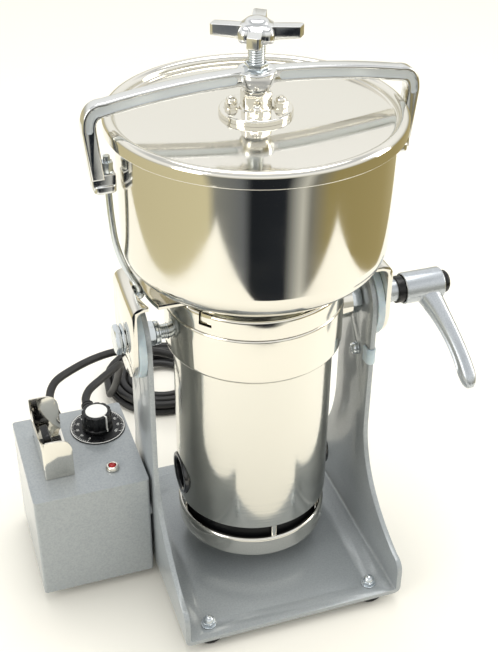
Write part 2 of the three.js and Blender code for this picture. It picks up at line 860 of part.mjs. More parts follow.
function dialKnob() {
  const bottom = dialTop + runningGap;
  const gripBottom = bottom + knobSkirt;
  const top = bottom + knobHeight;
  const skirt = turned([
    [0, bottom], [knobRadius, bottom], [knobRadius, bottom + knobSkirt / 2], [knobGripRadius, gripBottom],
    [0, gripBottom],
  ], medium);
  const grip = new THREE.Shape();
  const count = knobFlutes * 4;
  for (let i = 0; i < count; i += 1) {
    const angle = (2 * Math.PI * i) / count;
    const r = knobGripRadius - knobFluteDepth * (1 + Math.cos(knobFlutes * angle)) / 2;
    if (i === 0) grip.moveTo(r, 0);
    else grip.lineTo(r * Math.cos(angle), r * Math.sin(angle));
  }
  const inlay = bar(knobInlayRadius, top - knobInlay, top + knobInlay);
  const pointer = block(
    knobInlayRadius - pointerWidth, knobGripRadius + knobInlay, -pointerWidth / 2, pointerWidth / 2,
    gripBottom, top + knobInlay,
  ).rotateZ(pointerAngle);
  const bore = bar(potShaft + runningGap, bottom - overrun, top - knobSkirt, coarse);
  const recess = bar(potBush + gap + runningGap, bottom - overrun, bottom + knobSkirt / 2, coarse);
  return cut(join(skirt, raised(grip, gripBottom - knobInlay, top), inlay, pointer), bore, recess);
}

piece("dial_knob", dialKnob(), blackPlastic).position.set(dialX, dialY, 0);

// Board with the potentiometer that the knob turns, and a finned heat sink
function speedControl() {
  const panel = boxTop - sheet;
  const potTop = panel - gap;
  const boardTop = potTop - potHeight;
  const front = lampY + lampBore + boardToLamp - dialY;
  const board = block(-boardWidth / 2, boardWidth / 4, front, boardBehindDial, boardTop - boardSheet, boardTop);
  const pot = bar(potRadius, boardTop - gap, potTop);
  const bush = bar(potBush, potTop - gap, dialTop + runningGap, coarse);
  const shaft = bar(potShaft, potTop, dialTop + knobHeight - knobSkirt - overrun, coarse);
  const fins = Array.from({ length: heatSinkFins }, (_, i) => {
    const x = (i / (heatSinkFins - 1) - 1 / 2) * (heatSinkWidth - heatSinkFin);
    return block(
      x - heatSinkFin / 2, x + heatSinkFin / 2, front + heatSinkFin, front + heatSinkDepth,
      boardTop - boardSheet - heatSinkHeight, boardTop - boardSheet / 2,
    );
  });
  const back = block(
    -heatSinkWidth / 2, heatSinkWidth / 2, front + heatSinkFin, front + 2 * heatSinkFin,
    boardTop - boardSheet - heatSinkHeight, boardTop - boardSheet / 2,
  );
  return join(board, pot, bush, shaft, back, ...fins.map((fin) => moved(fin, 0, 0, 0)));
}

piece("speed_control", speedControl(), boardGreen).position.set(dialX, dialY, 0);

function lampBezel() {
  const low = boxTop + gap;
  const below = boxTop - sheet - lensBody;
  return turnedRing([
    [lensRadius + gap, below], [lampBore, below], [lampBore, low], [lampRadius, low],
    [lampRadius, low + lampRim / 2], [lampRadius - lampRim / 2, low + lampRim], [lensRadius + gap, low + lampRim],
  ], medium);
}

piece("lamp_bezel", lampBezel(), polished).position.set(lampX, lampY, 0);

function lampLens() {
  const low = boxTop - sheet - lensBody;
  const high = boxTop + gap + lampRim;
  const cap = Array.from({ length: 5 }, (_, i) => {
    const angle = (i / 4) * (Math.PI / 2);
    return [lensRadius * Math.cos(angle), high + lensRadius * Math.sin(angle)];
  });
  return turned([[0, low], [lensRadius, low], ...cap.slice(0, -1), [0, high + lensRadius]], coarse);
}

piece("lamp_lens", lampLens(), redLens).position.set(lampX, lampY, 0);

// A gland: neck through the wall, flange outside it and a tapered boot round the cord
function gland() {
  const outline = [
    [0, -sheet - glandFlangeThickness], [glandNeck + glandFlangeThickness / 2, -sheet - glandFlangeThickness],
    [glandNeck + glandFlangeThickness / 2, -sheet - gap], [glandNeck, -sheet - gap], [glandNeck, gap],
    [glandFlange, gap], [glandFlange, gap + glandFlangeThickness],
    [glandFlange - glandFlangeThickness / 2, gap + glandFlangeThickness + glandFlangeThickness / 2],
    [bootTip, glandLength], [0, glandLength],
  ];
  return alongY(turned(outline, coarse));
}

piece("mains_gland", gland(), blackRubber).position.set(mainsGlandX, boxBack, glandZ);
piece("motor_gland", gland(), blackRubber).position.set(motorGlandX, boxBack, glandZ);

// Motor: tube, end cap with its vents, brush holders and what turns inside

function motorTube() {
  const wall = tubeRing(motorRadius - tubeWall, motorRadius, tubeBottom, tubeTop);
  const across = motorRadius + overrun;
  const ports = moved(alongX(bar(brushBore + gap, -across, across)), 0, 0, brushZ);
  const bootHole = moved(alongY(bar(bootTip + gap, 0, across, coarse)), 0, 0, bootZ);
  return cut(wall, ports, bootHole);
}

piece("motor_tube", motorTube(), brushed);

// The end cap: bright ring, floor with radial slots, bearing hub, dark inner ring and posts to the tube
function motorEndCap() {
  const floorTop = capBottom + capWall;
  const cup = turnedRing([
    [hubRadius - capWall, capBottom], [capRadius - capWall / 2, capBottom], [capRadius, capBottom + capWall / 2],
    [capRadius, capTop - capWall / 2], [capRadius - capWall / 2, capTop], [capRadius - capWall, capTop],
    [capRadius - capWall, floorTop], [hubRadius + capWall, floorTop],
    [hubRadius + capWall, floorTop + gap + bearingHeight], [hubRadius - gap, floorTop + gap + bearingHeight],
    [hubRadius - gap, floorTop], [hubRadius - capWall, floorTop],
  ]);
  const slots = Array.from({ length: capSlots }, (_, i) => {
    const slot = block(
      hubRadius + 2 * capWall, capRadius - 3 * capWall, -capSlotWidth / 2, capSlotWidth / 2,
      capBottom - overrun, floorTop + overrun,
    );
    return slot.rotateZ((2 * Math.PI * i) / capSlots);
  });
  const postHigh = tubeBottom - gap;
  const postCircle = capRadius - capWall - ventPostRadius / 2;
  const posts = Array.from({ length: ventPosts }, (_, i) => {
    const angle = (2 * Math.PI * (i + 1 / 2)) / ventPosts;
    const post = bar(ventPostRadius, capBottom + capWall / 2, postHigh, 8);
    return moved(post, postCircle * Math.cos(angle), postCircle * Math.sin(angle), 0);
  });
  const postShelf = tubeRing(ventCoreRadius, postCircle + ventPostRadius / 2, postHigh - ventCoreWall, postHigh);
  const core = tubeRing(ventCoreRadius - ventCoreWall, ventCoreRadius + gap, capTop, postHigh);
  return join(cut(cup, ...slots), ...posts, postShelf, core);
}

piece("motor_end_cap", motorEndCap(), castAluminium);

const bearingLow = capBottom + capWall + gap;
function bearing(low) {
  const inner = shaftRadius + gap;
  const race = bearingOuter + capWall / 6;
  return tubeRing(inner, race, low, low + bearingHeight - gap, medium);
}

piece("lower_bearing", bearing(bearingLow), plainSteel);

// A brush holder: black cup in the tube's port with the carbon brush reaching to the commutator
function brushHolder() {
  const outer = motorRadius + gap;
  const cup = bar(brushBore, outer - brushDepth, outer);
  const recess = bar(brushRecessRadius, outer - brushRecess, outer + overrun);
  const screw = bar(brushRecessRadius / 2, outer - brushRecess - gap, outer - brushRecess / 3, coarse);
  const screwSlot = block(
    -brushRecessRadius / 2, brushRecessRadius / 2, -gap - gap, gap + gap, outer - brushRecess / 2, outer,
  );
  const brush = bar(brushRadius, commutatorRadius + runningGap, outer - brushDepth + gap, coarse);
  return alongX(join(cut(cup, recess), cut(screw, screwSlot), brush));
}

piece("brush_holder_right", brushHolder(), blackPlastic).position.set(0, 0, brushZ);
const leftHolder = piece("brush_holder_left", brushHolder(), blackPlastic);
leftHolder.position.set(0, 0, brushZ);
leftHolder.rotation.z = Math.PI;

const statorTop = tubeBottom + (tubeTop - tubeBottom) * statorTopShare;
function stator() {
  const low = statorTop - statorHeight;
  const outer = motorRadius - tubeWall - gap;
  const stack = tubeRing(statorBore, outer, low, statorTop);
  const notches = Array.from({ length: 4 }, (_, i) => {
    const notch = block(
      outer - statorNotch, outer + overrun, -statorNotch / 2, statorNotch / 2, low - overrun, statorTop + overrun,
    );
    return notch.rotateZ((Math.PI / 2) * i + Math.PI / 4);
  });
  const windings = tubeRing(statorBore + tubeWall, outer - statorNotch - tubeWall, low - statorNotch, low + tubeWall);
  return join(cut(stack, ...notches), windings);
}

piece("stator", stator(), copper);

// Collar: a ring round the tube's top with a seam, then the thick top plate with the bearing seat

const collarInner = motorRadius + gap;
function motorCollar() {
  const low = collarSeam - gap / 2;
  const ring = turnedRing([
    [collarInner, collarBottom], [collarRadius - collarChamfer, collarBottom],
    [collarRadius, collarBottom + collarChamfer], [collarRadius, low - collarStep],
    [collarRadius - collarStep, low], [collarInner, low],
  ]);
  const boss = moved(alongX(bar(trunnionRadius, collarRadius - collarChamfer, collarRadius + trunnionReach)), 0, 0, pivotHeight);
  const through = collarRadius + trunnionReach + overrun;
  const hole = moved(alongX(bar(boltRadius + gap, -through, through)), 0, 0, pivotHeight);
  return cut(join(ring, cut(boss, bar(collarInner, 0, collarTop))), hole);
}

piece("motor_collar", motorCollar(), polished);

function collarPlate() {
  const low = collarSeam + gap / 2;
  const plateLow = collarTop - collarLid;
  const ring = turnedRing([
    [collarInner, low], [collarRadius - collarStep, low], [collarRadius, low + collarStep],
    [collarRadius, collarTop - collarStep], [collarRadius - collarStep, collarTop], [neckHoleRadius, collarTop],
    [neckHoleRadius, plateLow], [collarInner, plateLow],
  ]);
  const notch = block(
    collarRadius - notchDepth, collarRadius + overrun, -notchWidth / 2, notchWidth / 2,
    collarTop - notchHeight, collarTop + overrun,
  ).rotateZ(notchAngle);
  return cut(ring, notch);
}

piece("collar_plate", collarPlate(), polished);

// Bracket: a strap over the collar with its ends bent down as ears, and open slots for the tie rods

function bracketStrap() {
  const half = strapWidth / 2;
  const low = pivotHeight - half;
  const section = channelSection(bracketHalfWidth, strapSheet, bracketBend, low - overrun, strapTop);
  const side = new THREE.Shape();
  side.moveTo(half, strapTop + overrun);
  side.lineTo(-half, strapTop + overrun);
  side.lineTo(-half, pivotHeight);
  side.absarc(0, pivotHeight, half, Math.PI, 2 * Math.PI, false);
  const reach = bracketHalfWidth + overrun;
  const pivotHole = moved(alongX(bar(boltRadius + runningGap, -reach, reach)), 0, 0, pivotHeight);
  const slotInner = rodBottomX - rodRadius - runningGap;
  const slotOuter = rodBottomX + rodRadius + runningGap + rodSlotSlack;
  const slotEnd = Math.asin(half / slotInner) + Math.asin(overrun / slotInner);
  const slot = new THREE.Shape();
  slot.absarc(0, 0, slotOuter, 0, slotEnd, false);
  slot.absarc(0, 0, slotInner, slotEnd, 0, true);
  slot.absarc((slotInner + slotOuter) / 2, 0, (slotOuter - slotInner) / 2, Math.PI, 2 * Math.PI, false);
  const slotRight = raised(slot, strapBottom - overrun, strapTop + overrun);
  const slotLeft = slotRight.clone().rotateZ(Math.PI);
  const neckHole = bar(neckHoleRadius, strapBottom - overrun, strapTop + overrun, fine);
  return cut(
    common(carriedY(section, -half - overrun, half + overrun, 4), carriedX(side, -reach, reach)),
    pivotHole, neckHole, slotRight, slotLeft,
  );
}

piece("bracket_strap", bracketStrap(), plainSteel);

// Nylon discs between the ears and the uprights
const discLow = standHalfWidth + gap;
const discHigh = earInside - gap;
function frictionDisc() {
  return alongX(tubeRing(boltRadius + gap, frictionRadius, discLow, discHigh, medium));
}

piece("friction_disc_right", frictionDisc(), nylon).position.set(0, 0, pivotHeight);
const leftDisc = piece("friction_disc_left", frictionDisc(), nylon);
leftDisc.position.set(0, 0, pivotHeight);
leftDisc.rotation.z = Math.PI;

// Left pivot: a hexagon bolt through ear, disc and upright into the collar, with its nuts
function pivotBolt() {
  const outside = bracketHalfWidth + gap;
  const inside = standInside - gap;
  const shank = bar(boltRadius, collarInner + gap, outside + boltNutHeight);
  const outerNut = hexBar(boltHeadFlats, outside, outside + boltNutHeight);
  const head = hexBar(boltHeadFlats - gap, outside + boltNutHeight, outside + boltNutHeight + boltHeadHeight);
  const innerNut = hexBar(boltHeadFlats, inside - innerNutHeight, inside);
  const washer = bar(washerRadius, inside - innerNutHeight - washerThickness, inside - innerNutHeight);
  return alongX(join(shank, outerNut, head.rotateZ(1 / 4), innerNut, washer));
}

const leftBolt = piece("pivot_bolt_left", pivotBolt(), plainSteel);
leftBolt.position.set(0, 0, pivotHeight);
leftBolt.rotation.z = Math.PI;

// Right pivot: a stud from the collar's boss out into the clamp nut, with an inner nut
const clampStart = bracketHalfWidth + gap;
function pivotStud() {
  const inside = standInside - gap;
  const shank = bar(boltRadius, collarInner + gap, clampStart + sleeveLength);
  const nut = hexBar(boltHeadFlats, collarRadius + trunnionReach + gap, inside);
  return alongX(join(shank, nut));
}

piece("pivot_stud_right", pivotStud(), plainSteel).position.set(0, 0, pivotHeight);

// Clamp nut: sleeve, black skirt and the serrated spigot that the lever drops over
const skirtStart = clampStart + sleeveLength;
const skirtEnd = skirtStart + skirtLength;
function clampNut() {
  const sleeve = bar(sleeveRadius, clampStart, skirtStart);
  const skirt = bar(skirtRadius, skirtStart, skirtEnd);
  const spigot = bar(spigotRadius, skirtEnd, skirtEnd + spigotLength, coarse);
  const bore = bar(boltRadius + runningGap, clampStart - overrun, skirtStart + overrun);
  return alongX(cut(join(sleeve, skirt, spigot), bore));
}

piece("clamp_nut", clampNut(), blackPlastic).position.set(0, 0, pivotHeight);

// The lever: a hub and a curved, tapering hand arm that leans outward
const leverHubStart = skirtEnd + runningGap;
const leverHubEnd = leverHubStart + leverHubLength;
function clampLever() {
  const hub = turned([
    [0, leverHubStart], [leverHubRadius, leverHubStart],
    [leverHubRadius, leverHubEnd - leverCapLength / 2],
    [leverHubRadius - leverCapLength / 2, leverHubEnd], [0, leverHubEnd],
  ], medium);
  const bore = bar(spigotRadius + runningGap, leverHubStart - overrun, leverHubStart + spigotLength + overrun, coarse);
  const outward = new THREE.Vector3(0, 0, 1);
  const away = new THREE.Vector3(0, 1, 0);
  const across = new THREE.Vector3(1, 0, 0);
  const middle = leverHubEnd - leverStart - leverHubRadius / 2;
  const centreAt = (share) => {
    const lean = leverFlare * Math.sin((Math.min(share, 1) * Math.PI) / 2) - leverFlare / 2;
    return new THREE.Vector3(0, 0, middle).addScaledVector(away, share * leverReach).addScaledVector(outward, lean);
  };
  const rings = leverSizes.map((size) => {
    const step = centreAt(size.alongShare + 1e-3).sub(centreAt(size.alongShare)).normalize();
    const upward = new THREE.Vector3().crossVectors(step, across).negate();
    return ringAround(centreAt(size.alongShare), across, upward, size.wide, size.thick, coarse);
  });
  const arm = skin(rings);
  const whole = cut(join(hub, arm), bore, bar(leverHubRadius + leverReach, 0, leverHubStart - gap));
  return alongX(whole.rotateZ(-Math.PI / 2)).rotateX(leverAngle);
}

piece("clamp_lever", clampLever(), silverPaint).position.set(0, 0, pivotHeight);

function leverCap() {
  const low = leverHubEnd + gap;
  return alongX(turned([
    [0, low], [leverCapRadius, low], [leverCapRadius, low + leverCapLength / 2],
    [leverCapRadius - leverCapLength / 3, low + leverCapLength], [0, low + leverCapLength],
  ], medium));
}

piece("lever_cap", leverCap(), blackPlastic).position.set(0, 0, pivotHeight);

// Bowl neck with the upper bearing's seat, standing in the strap and the collar
const upperBearingLow = strapBottom;
function bowlNeck() {
  const seatTop = upperBearingLow + bearingHeight;
  return turnedRing([
    [shaftRadius + runningGap + gap, seatTop + gap], [bearingOuter + 3 * gap, seatTop + gap],
    [bearingOuter + 3 * gap, collarTop - collarLid], [neckHoleRadius - gap, collarTop - collarLid],
    [neckHoleRadius - gap, strapTop + gap], [neckRadius, strapTop + gap],
    [neckRadius, strapTop + neckHeight / 2], [neckRadius - neckHeight / 4, neckTop],
    [shaftRadius + runningGap + gap, neckTop],
  ]);
}

piece("bowl_neck", bowlNeck(), castAluminium);
piece("upper_bearing", bearing(upperBearingLow), plainSteel);

function arcPoints(centreR, centreZ, radius, from, to, count) {
  return Array.from({ length: count + 1 }, (_, i) => {
    const angle = from + ((to - from) * i) / count;
    return [centreR + radius * Math.cos(angle), centreZ + radius * Math.sin(angle)];
  });
}

function bowl() {
  const cornerR = bowlRadius - bowlCorner;
  const cornerZ = bowlBottom + bowlCorner;
  const inner = bowlCorner - bowlWall;
  return turnedRing([
    [shaftHole, bowlBottom],
    ...arcPoints(cornerR, cornerZ, bowlCorner, -Math.PI / 2, 0, 5),
    [bowlRadius, bowlTop - bowlLipThickness], [bowlRadius + bowlLip, bowlTop - bowlLipThickness],
    [bowlRadius + bowlLip, bowlTop], [bowlRadius - bowlWall, bowlTop],
    ...arcPoints(cornerR, cornerZ, inner, 0, -Math.PI / 2, 5),
    [shaftHole, bowlBottom + bowlWall],
  ], fine + coarse);
}

piece("bowl", bowl(), polished);

piece(
  "lid_gasket",
  tubeRing(bowlRadius - bowlWall, bowlRadius + bowlLip - gap, gasketBottom, gasketBottom + gasketHeight),
  sealRubber,
);

// Lid: a flat dish, rising to a rolled rim whose skirt hides the bowl's lip, with a ring inside the bowl
function lid() {
  const skirtLow = dishTop - rimBelowDish;
  const rimInner = rimRadius - rimWall;
  const rollCentre = (dishRadius + rimRadius) / 2;
  const rollRadius = rimRadius - rollCentre;
  const spigotOuter = bowlRadius - bowlWall - spigotInset;
  const crown = Array.from({ length: 6 }, (_, i) => {
    const angle = (Math.PI * i) / 5;
    return [rollCentre + rollRadius * Math.cos(angle), dishTop + rimAboveDish * Math.sin(angle)];
  });
  return turned([
    [0, dishBottom], [spigotOuter - spigotWall, dishBottom], [spigotOuter - spigotWall, dishBottom - spigotDepth],
    [spigotOuter, dishBottom - spigotDepth], [spigotOuter, dishBottom], [rimInner, dishBottom],
    [rimInner, skirtLow], [rimRadius, skirtLow], ...crown, [0, dishTop],
  ], fine + coarse);
}

piece("lid", lid(), polished);

// Flange, three dome nuts and the socket that holds the spindle's foot
const spindleFoot = flangeTop + flangeThickness;
function lidFlange() {
  const low = dishTop + gap;
  const flange = turned([
    [0, low], [flangeRadius, low], [flangeRadius, flangeTop - gap], [flangeRadius - gap, flangeTop], [0, flangeTop],
  ]);
  const socket = turned([
    [0, low], [socketRadius, low], [socketRadius, socketTop - gap], [socketRadius - gap, socketTop], [0, socketTop],
  ], medium);
  const nuts = Array.from({ length: studCount }, (_, i) => {
    const angle = Math.PI / 2 + (2 * Math.PI * i) / studCount;
    const hexagon = hexBar(domeNutFlats, flangeTop - gap, flangeTop + domeNutHex);
    const nut = join(hexagon, domeOn(domeNutRadius, flangeTop, flangeTop + domeNutHex));
    return moved(nut, studCircle * Math.cos(angle), studCircle * Math.sin(angle), 0);
  });
  const bore = bar(spindleRadius + runningGap, spindleFoot, socketTop + overrun);
  return cut(join(flange, socket, ...nuts), bore);
}

piece("lid_flange", lidFlange(), polished);

// Spindle with the cross knob on top

const knobSeat = crossKnobBottom + knobNeck + knobArmThickness / 2;
piece("spindle", bar(spindleRadius, spindleFoot + runningGap, knobSeat - gap), plainSteel);

function crossKnob() {
  const low = crossKnobBottom + knobNeck;
  const high = low + knobArmThickness;
  const arm = (turn) => {
    const half = knobArmWidth / 2;
    const shape = new THREE.Shape();
    shape.moveTo(-knobArmReach, -half);
    shape.lineTo(knobArmReach, -half);
    shape.lineTo(knobArmReach, half);
    shape.lineTo(-knobArmReach, half);
    const options = {
      depth: knobArmThickness - 2 * knobBevel, bevelEnabled: true, bevelThickness: knobBevel,
      bevelSize: knobBevel, bevelOffset: -knobBevel, bevelSegments: 2,
    };
    return new THREE.ExtrudeGeometry(shape, options).translate(0, 0, low + knobBevel).rotateZ(turn);
  };
  const hub = turned([
    [0, crossKnobBottom], [knobHub - knobNeck, crossKnobBottom], [knobHub, low], [knobHub, high - knobBevel],
    [knobHub - knobBevel, high], [knobHub / 2, high + knobDome], [0, high + knobDome + gap],
  ], medium);
  const bore = bar(spindleRadius + gap, crossKnobBottom - overrun, knobSeat);
  return cut(join(hub, arm(0), arm(Math.PI / 2)), bore).rotateZ(knobTurn);
}

piece("cross_knob", crossKnob(), polished);

// The yoke's threaded insert: a hexagon above the boss and a bush inside it
function yokeInsert() {
  const hexagon = hexBar(insertFlats, yokeBossTop + gap, insertTop);
  const bush = bar(insertRadius, yokeBossBottom, yokeBossTop + 2 * gap);
  const bore = bar(spindleRadius + runningGap, yokeBossBottom - overrun, insertTop + overrun);
  return cut(join(hexagon, bush), bore);
}

piece("yoke_insert", yokeInsert(), plainSteel);

// Yoke: arms drooping to rounded shoulders, leaning legs, feet, a boss, and recessed panels

const shoulderTop = yokeBossTop - yokeDroop;
const legOuterBottom = yokeHalfWidth - yokeLegLean;

function yokeOutline(inset) {
  const shape = new THREE.Shape();
  const outerX = yokeHalfWidth - inset;
  const bottomX = legOuterBottom - inset;
  const top = (x) => yokeBossTop - inset - (yokeDroop * x * x) / (yokeHalfWidth * yokeHalfWidth);
  const corner = yokeHalfWidth - yokeShoulderRadius;
  const cornerLow = shoulderTop - yokeShoulderRadius;
  const legThick = yokeLeg - 2 * inset;
  const armThick = yokeArm - 2 * inset;
  const innerCorner = yokeShoulderRadius - yokeLeg;
  const arc = [];
  for (let i = 0; i <= 12; i += 1) arc.push((corner * i) / 12);
  const low = yokeFootBottom + inset;
  shape.moveTo(-bottomX, low);
  shape.lineTo(-outerX, cornerLow);
  shape.quadraticCurveTo(-outerX, top(corner), -corner, top(corner));
  arc.slice(0, -1).reverse().forEach((x) => shape.lineTo(-x, top(x)));
  arc.slice(1).forEach((x) => shape.lineTo(x, top(x)));
  shape.quadraticCurveTo(outerX, top(corner), outerX, cornerLow);
  shape.lineTo(bottomX, low);
  shape.lineTo(bottomX - legThick, low);
  shape.lineTo(outerX - legThick, cornerLow);
  shape.quadraticCurveTo(
    outerX - legThick, top(corner) - armThick, outerX - legThick - innerCorner, top(corner) - armThick,
  );
  const under = arc.filter((x) => x < outerX - legThick - innerCorner - gap);
  [...under].reverse().forEach((x) => shape.lineTo(x, top(x) - armThick));
  under.slice(1).forEach((x) => shape.lineTo(-x, top(x) - armThick));
  shape.lineTo(-outerX + legThick + innerCorner, top(corner) - armThick);
  shape.quadraticCurveTo(-outerX + legThick, top(corner) - armThick, -outerX + legThick, cornerLow);
  shape.lineTo(-bottomX + legThick, low);
  return shape;
}

// One recessed panel: it follows the arm from the boss round the shoulder
function yokePanel(side, face) {
  const inset = panelRim;
  const top = (x) => yokeBossTop - inset - (yokeDroop * x * x) / (yokeHalfWidth * yokeHalfWidth);
  const thick = yokeArm - 2 * inset;
  const legThick = yokeLeg - 2 * inset;
  const corner = yokeHalfWidth - yokeShoulderRadius;
  const cornerLow = shoulderTop - yokeShoulderRadius + inset;
  const outerX = yokeHalfWidth - inset;
  const innerX = outerX - legThick;
  const turn = innerX - (yokeShoulderRadius - yokeLeg);
  const at = (x, z) => [side * x, z];
  const xs = Array.from({ length: 9 }, (_, i) => panelInner + ((corner - panelInner) * i) / 8);
  const shape = new THREE.Shape();
  shape.moveTo(...at(xs[0], top(xs[0])));
  xs.slice(1).forEach((x) => shape.lineTo(...at(x, top(x))));
  shape.quadraticCurveTo(...at(outerX, top(corner)), ...at(outerX, cornerLow));
  shape.lineTo(...at(innerX, cornerLow));
  shape.quadraticCurveTo(...at(innerX, top(corner) - thick), ...at(turn, top(turn) - thick));
  const under = xs.filter((x) => x < turn - gap);
  [...under].reverse().forEach((x) => shape.lineTo(...at(x, top(x) - thick)));
  shape.quadraticCurveTo(...at(panelInner - thick / 2, top(panelInner) - thick / 2), ...at(xs[0], top(xs[0])));
  const front = face < 0;
  const y0 = front ? -yokeDepth / 2 - overrun : yokeDepth / 2 - panelDepth;
  const y1 = front ? -yokeDepth / 2 + panelDepth : yokeDepth / 2 + overrun;
  return carriedY(shape, y0, y1, 4);
}

function yoke() {
  const body = bevelledY(yokeOutline(0), -yokeDepth / 2, yokeDepth / 2, yokeBevel, 6);
  const boss = turned([
    [0, yokeBossBottom], [yokeBossLow, yokeBossBottom], [yokeBossRadius, yokeBossBottom + yokeBossHeight / 2],
    [yokeBossRadius, yokeBossTop - yokeBossEdge], [yokeBossRadius - yokeBossEdge, yokeBossTop], [0, yokeBossTop],
  ], medium);
  const footInner = legOuterBottom - footLength;
  const footTop = yokeFootBottom + footLower + footThickness;
  const yokeFoot = (side) => {
    const x0 = side < 0 ? -legOuterBottom + yokeBevel : footInner;
    const x1 = side < 0 ? -footInner : legOuterBottom - yokeBevel;
    const upper = block(x0, x1, -yokeDepth / 2 + gap, yokeDepth / 2 - gap, yokeFootBottom + footLower / 2, footTop);
    const band = roundedRectangle(x0, x1, -footDepth / 2, footDepth / 2, footDepth / 3);
    const hole = bar(rodRadius + gap, 0, footTop + overrun, coarse);
    const pocket = bar(rodNutFlats / Math.sqrt(3) + gap, footTop, footTop + rodNutHeight + rodStud + overrun);
    const cuts = [moved(hole, side * rodTopX, 0, 0), moved(pocket, side * rodTopX, 0, 0)];
    return { whole: [upper, raised(band, yokeFootBottom, yokeFootBottom + footLower, 4)], cuts };
  };
  const left = yokeFoot(-1);
  const right = yokeFoot(1);
  const bore = bar(insertRadius + gap, yokeBossBottom - overrun, yokeBossTop + overrun);
  const panels = [-1, 1].flatMap((side) => [-1, 1].map((face) => yokePanel(side, face)));
  return cut(join(body, boss, ...left.whole, ...right.whole), bore, ...left.cuts, ...right.cuts, ...panels);
}

piece("yoke", yoke(), castAluminium);

// How far the bowl reaches from the axis at a height
function bowlOutsideAt(z) {
  const below = Math.min(Math.max(bowlBottom + bowlCorner - z, 0), bowlCorner);
  return bowlRadius - bowlCorner + Math.sqrt(bowlCorner * bowlCorner - below * below);
}

// Tie rod: nut and stud on the foot, a rod that follows the bowl's curve, and a head under the strap
function tieRod() {
  const footTop = yokeFootBottom + footLower + footThickness;
  const stud = footTop + gap + rodNutHeight + rodStud;
  const rise = yokeFootBottom - strapTop;
  const run = rodTopX - rodBottomX;
  const bulge = rodBulge.map(({ acrossShare, upShare }) => {
    const z = strapTop + rise * upShare;
    return [Math.max(rodBottomX + run * acrossShare, bowlOutsideAt(z) + rodRadius + rodClearance), 0, z];
  });
  const path = pathFrom([
    [rodTopX, 0, stud], [rodTopX, 0, footTop], [rodTopX, 0, yokeFootBottom - rodRadius],
    ...bulge, [rodBottomX, 0, strapTop], [rodBottomX, 0, rodHeadTop - rodRadius],
  ]);
  const shape = new THREE.Shape();
  shape.absarc(0, 0, rodRadius, 0, 2 * Math.PI, false);
  const rod = new THREE.ExtrudeGeometry(shape, { steps: 18, extrudePath: path, curveSegments: 4 });
  const nut = moved(hexBar(rodNutFlats, footTop + gap, footTop + gap + rodNutHeight), rodTopX, 0, 0);
  const head = moved(bar(rodHeadRadius, rodHeadBottom, rodHeadTop, coarse), rodBottomX, 0, 0);
  return join(rod, nut, head);
}

piece("tie_rod_right", tieRod(), plainSteel);
piece("tie_rod_left", tieRod(), plainSteel).rotation.z = Math.PI;

// Rotor: shaft, commutator and armature, fan, two crossed blades and their nut

const bladeLow = bowlBottom + bowlWall + bladeLift;
const upperBladeLow = bladeLow + bladeSpacing;
const nutLow = upperBladeLow + bladeSheet + gap;
const shaftTop = nutLow + bladeNutHeight + shaftSteps;

function rotorShaft() {
  const lower = bearingLow + gap;
  const spacerHigh = upperBladeLow - gap;
  const shaft = bar(shaftRadius, lower, shaftTop);
  const shoulder = tubeRing(shaftRadius / 2, shaftHole - shaftSteps / 2, neckTop + gap, bladeLow - gap, medium);
  const spacer = tubeRing(shaftRadius / 2, shaftHole - shaftSteps / 2, bladeLow + bladeSheet + gap, spacerHigh, medium);
  return join(shaft, shoulder, spacer);
}

piece("rotor_shaft", rotorShaft(), plainSteel);

function armature() {
  const low = statorTop - statorHeight;
  const body = bar(armatureRadius, low, statorTop, fine);
  const slots = Array.from({ length: armatureSlots }, (_, i) => {
    const slot = block(
      armatureRadius - armatureSlotDepth, armatureRadius + overrun, -armatureSlotWidth / 2, armatureSlotWidth / 2,
      low - overrun, statorTop + overrun,
    );
    return slot.rotateZ((2 * Math.PI * i) / armatureSlots);
  });
  const commutator = bar(commutatorRadius, brushZ - commutatorLength / 2, brushZ + commutatorLength / 2);
  const neck = bar(shaftRadius + 2 * shaftSteps, brushZ, low + gap);
  const bore = bar(shaftRadius + gap, 0, collarTop);
  return cut(join(cut(body, ...slots), commutator, neck), bore);
}

piece("armature", armature(), ironSheets);

// The fan sits above the armature: a hub, a disc and straight radial blades
function fan() {
  const low = statorTop + shaftSteps;
  const hub = bar(shaftRadius + 2 * shaftSteps, low, low + fanHeight);
  const disc = bar(fanRadius, low, low + fanSheet, fine);
  const blades = Array.from({ length: fanBlades }, (_, i) => {
    const blade = block(shaftRadius + shaftSteps, fanRadius - fanSheet, -fanSheet / 2, fanSheet / 2, low, low + fanHeight);
    return blade.rotateZ((2 * Math.PI * i) / fanBlades);
  });
  return cut(join(hub, disc, ...blades), bar(shaftRadius + gap, 0, collarTop));
}

piece("fan", fan(), castAluminium);

// A blade: a ground bar whose two tips bend up, narrowing to a point
function blade(length, rise) {
  const half = length / 2;
  const bend = half * bladeTipShare;
  const side = new THREE.Shape();
  side.moveTo(-half, rise);
  side.lineTo(-bend, 0);
  side.lineTo(bend, 0);
  side.lineTo(half, rise);
  side.lineTo(half, rise + bladeSheet);
  side.lineTo(bend, bladeSheet);
  side.lineTo(-bend, bladeSheet);
  side.lineTo(-half, rise + bladeSheet);
  const wide = bladeWidth / 2;
  const tip = wide * bladePointShare;
  const plan = new THREE.Shape();
  plan.moveTo(-half, -tip);
  plan.lineTo(-bend, -wide);
  plan.lineTo(bend, -wide);
  plan.lineTo(half, -tip);
  plan.lineTo(half, tip);
  plan.lineTo(bend, wide);
  plan.lineTo(-bend, wide);
  plan.lineTo(-half, tip);
  return cut(
    common(carriedY(side, -wide - overrun, wide + overrun), raised(plan, -overrun, rise + bladeSheet + overrun)),
    bar(shaftRadius + gap, -overrun, bladeSheet + overrun),
  );
}

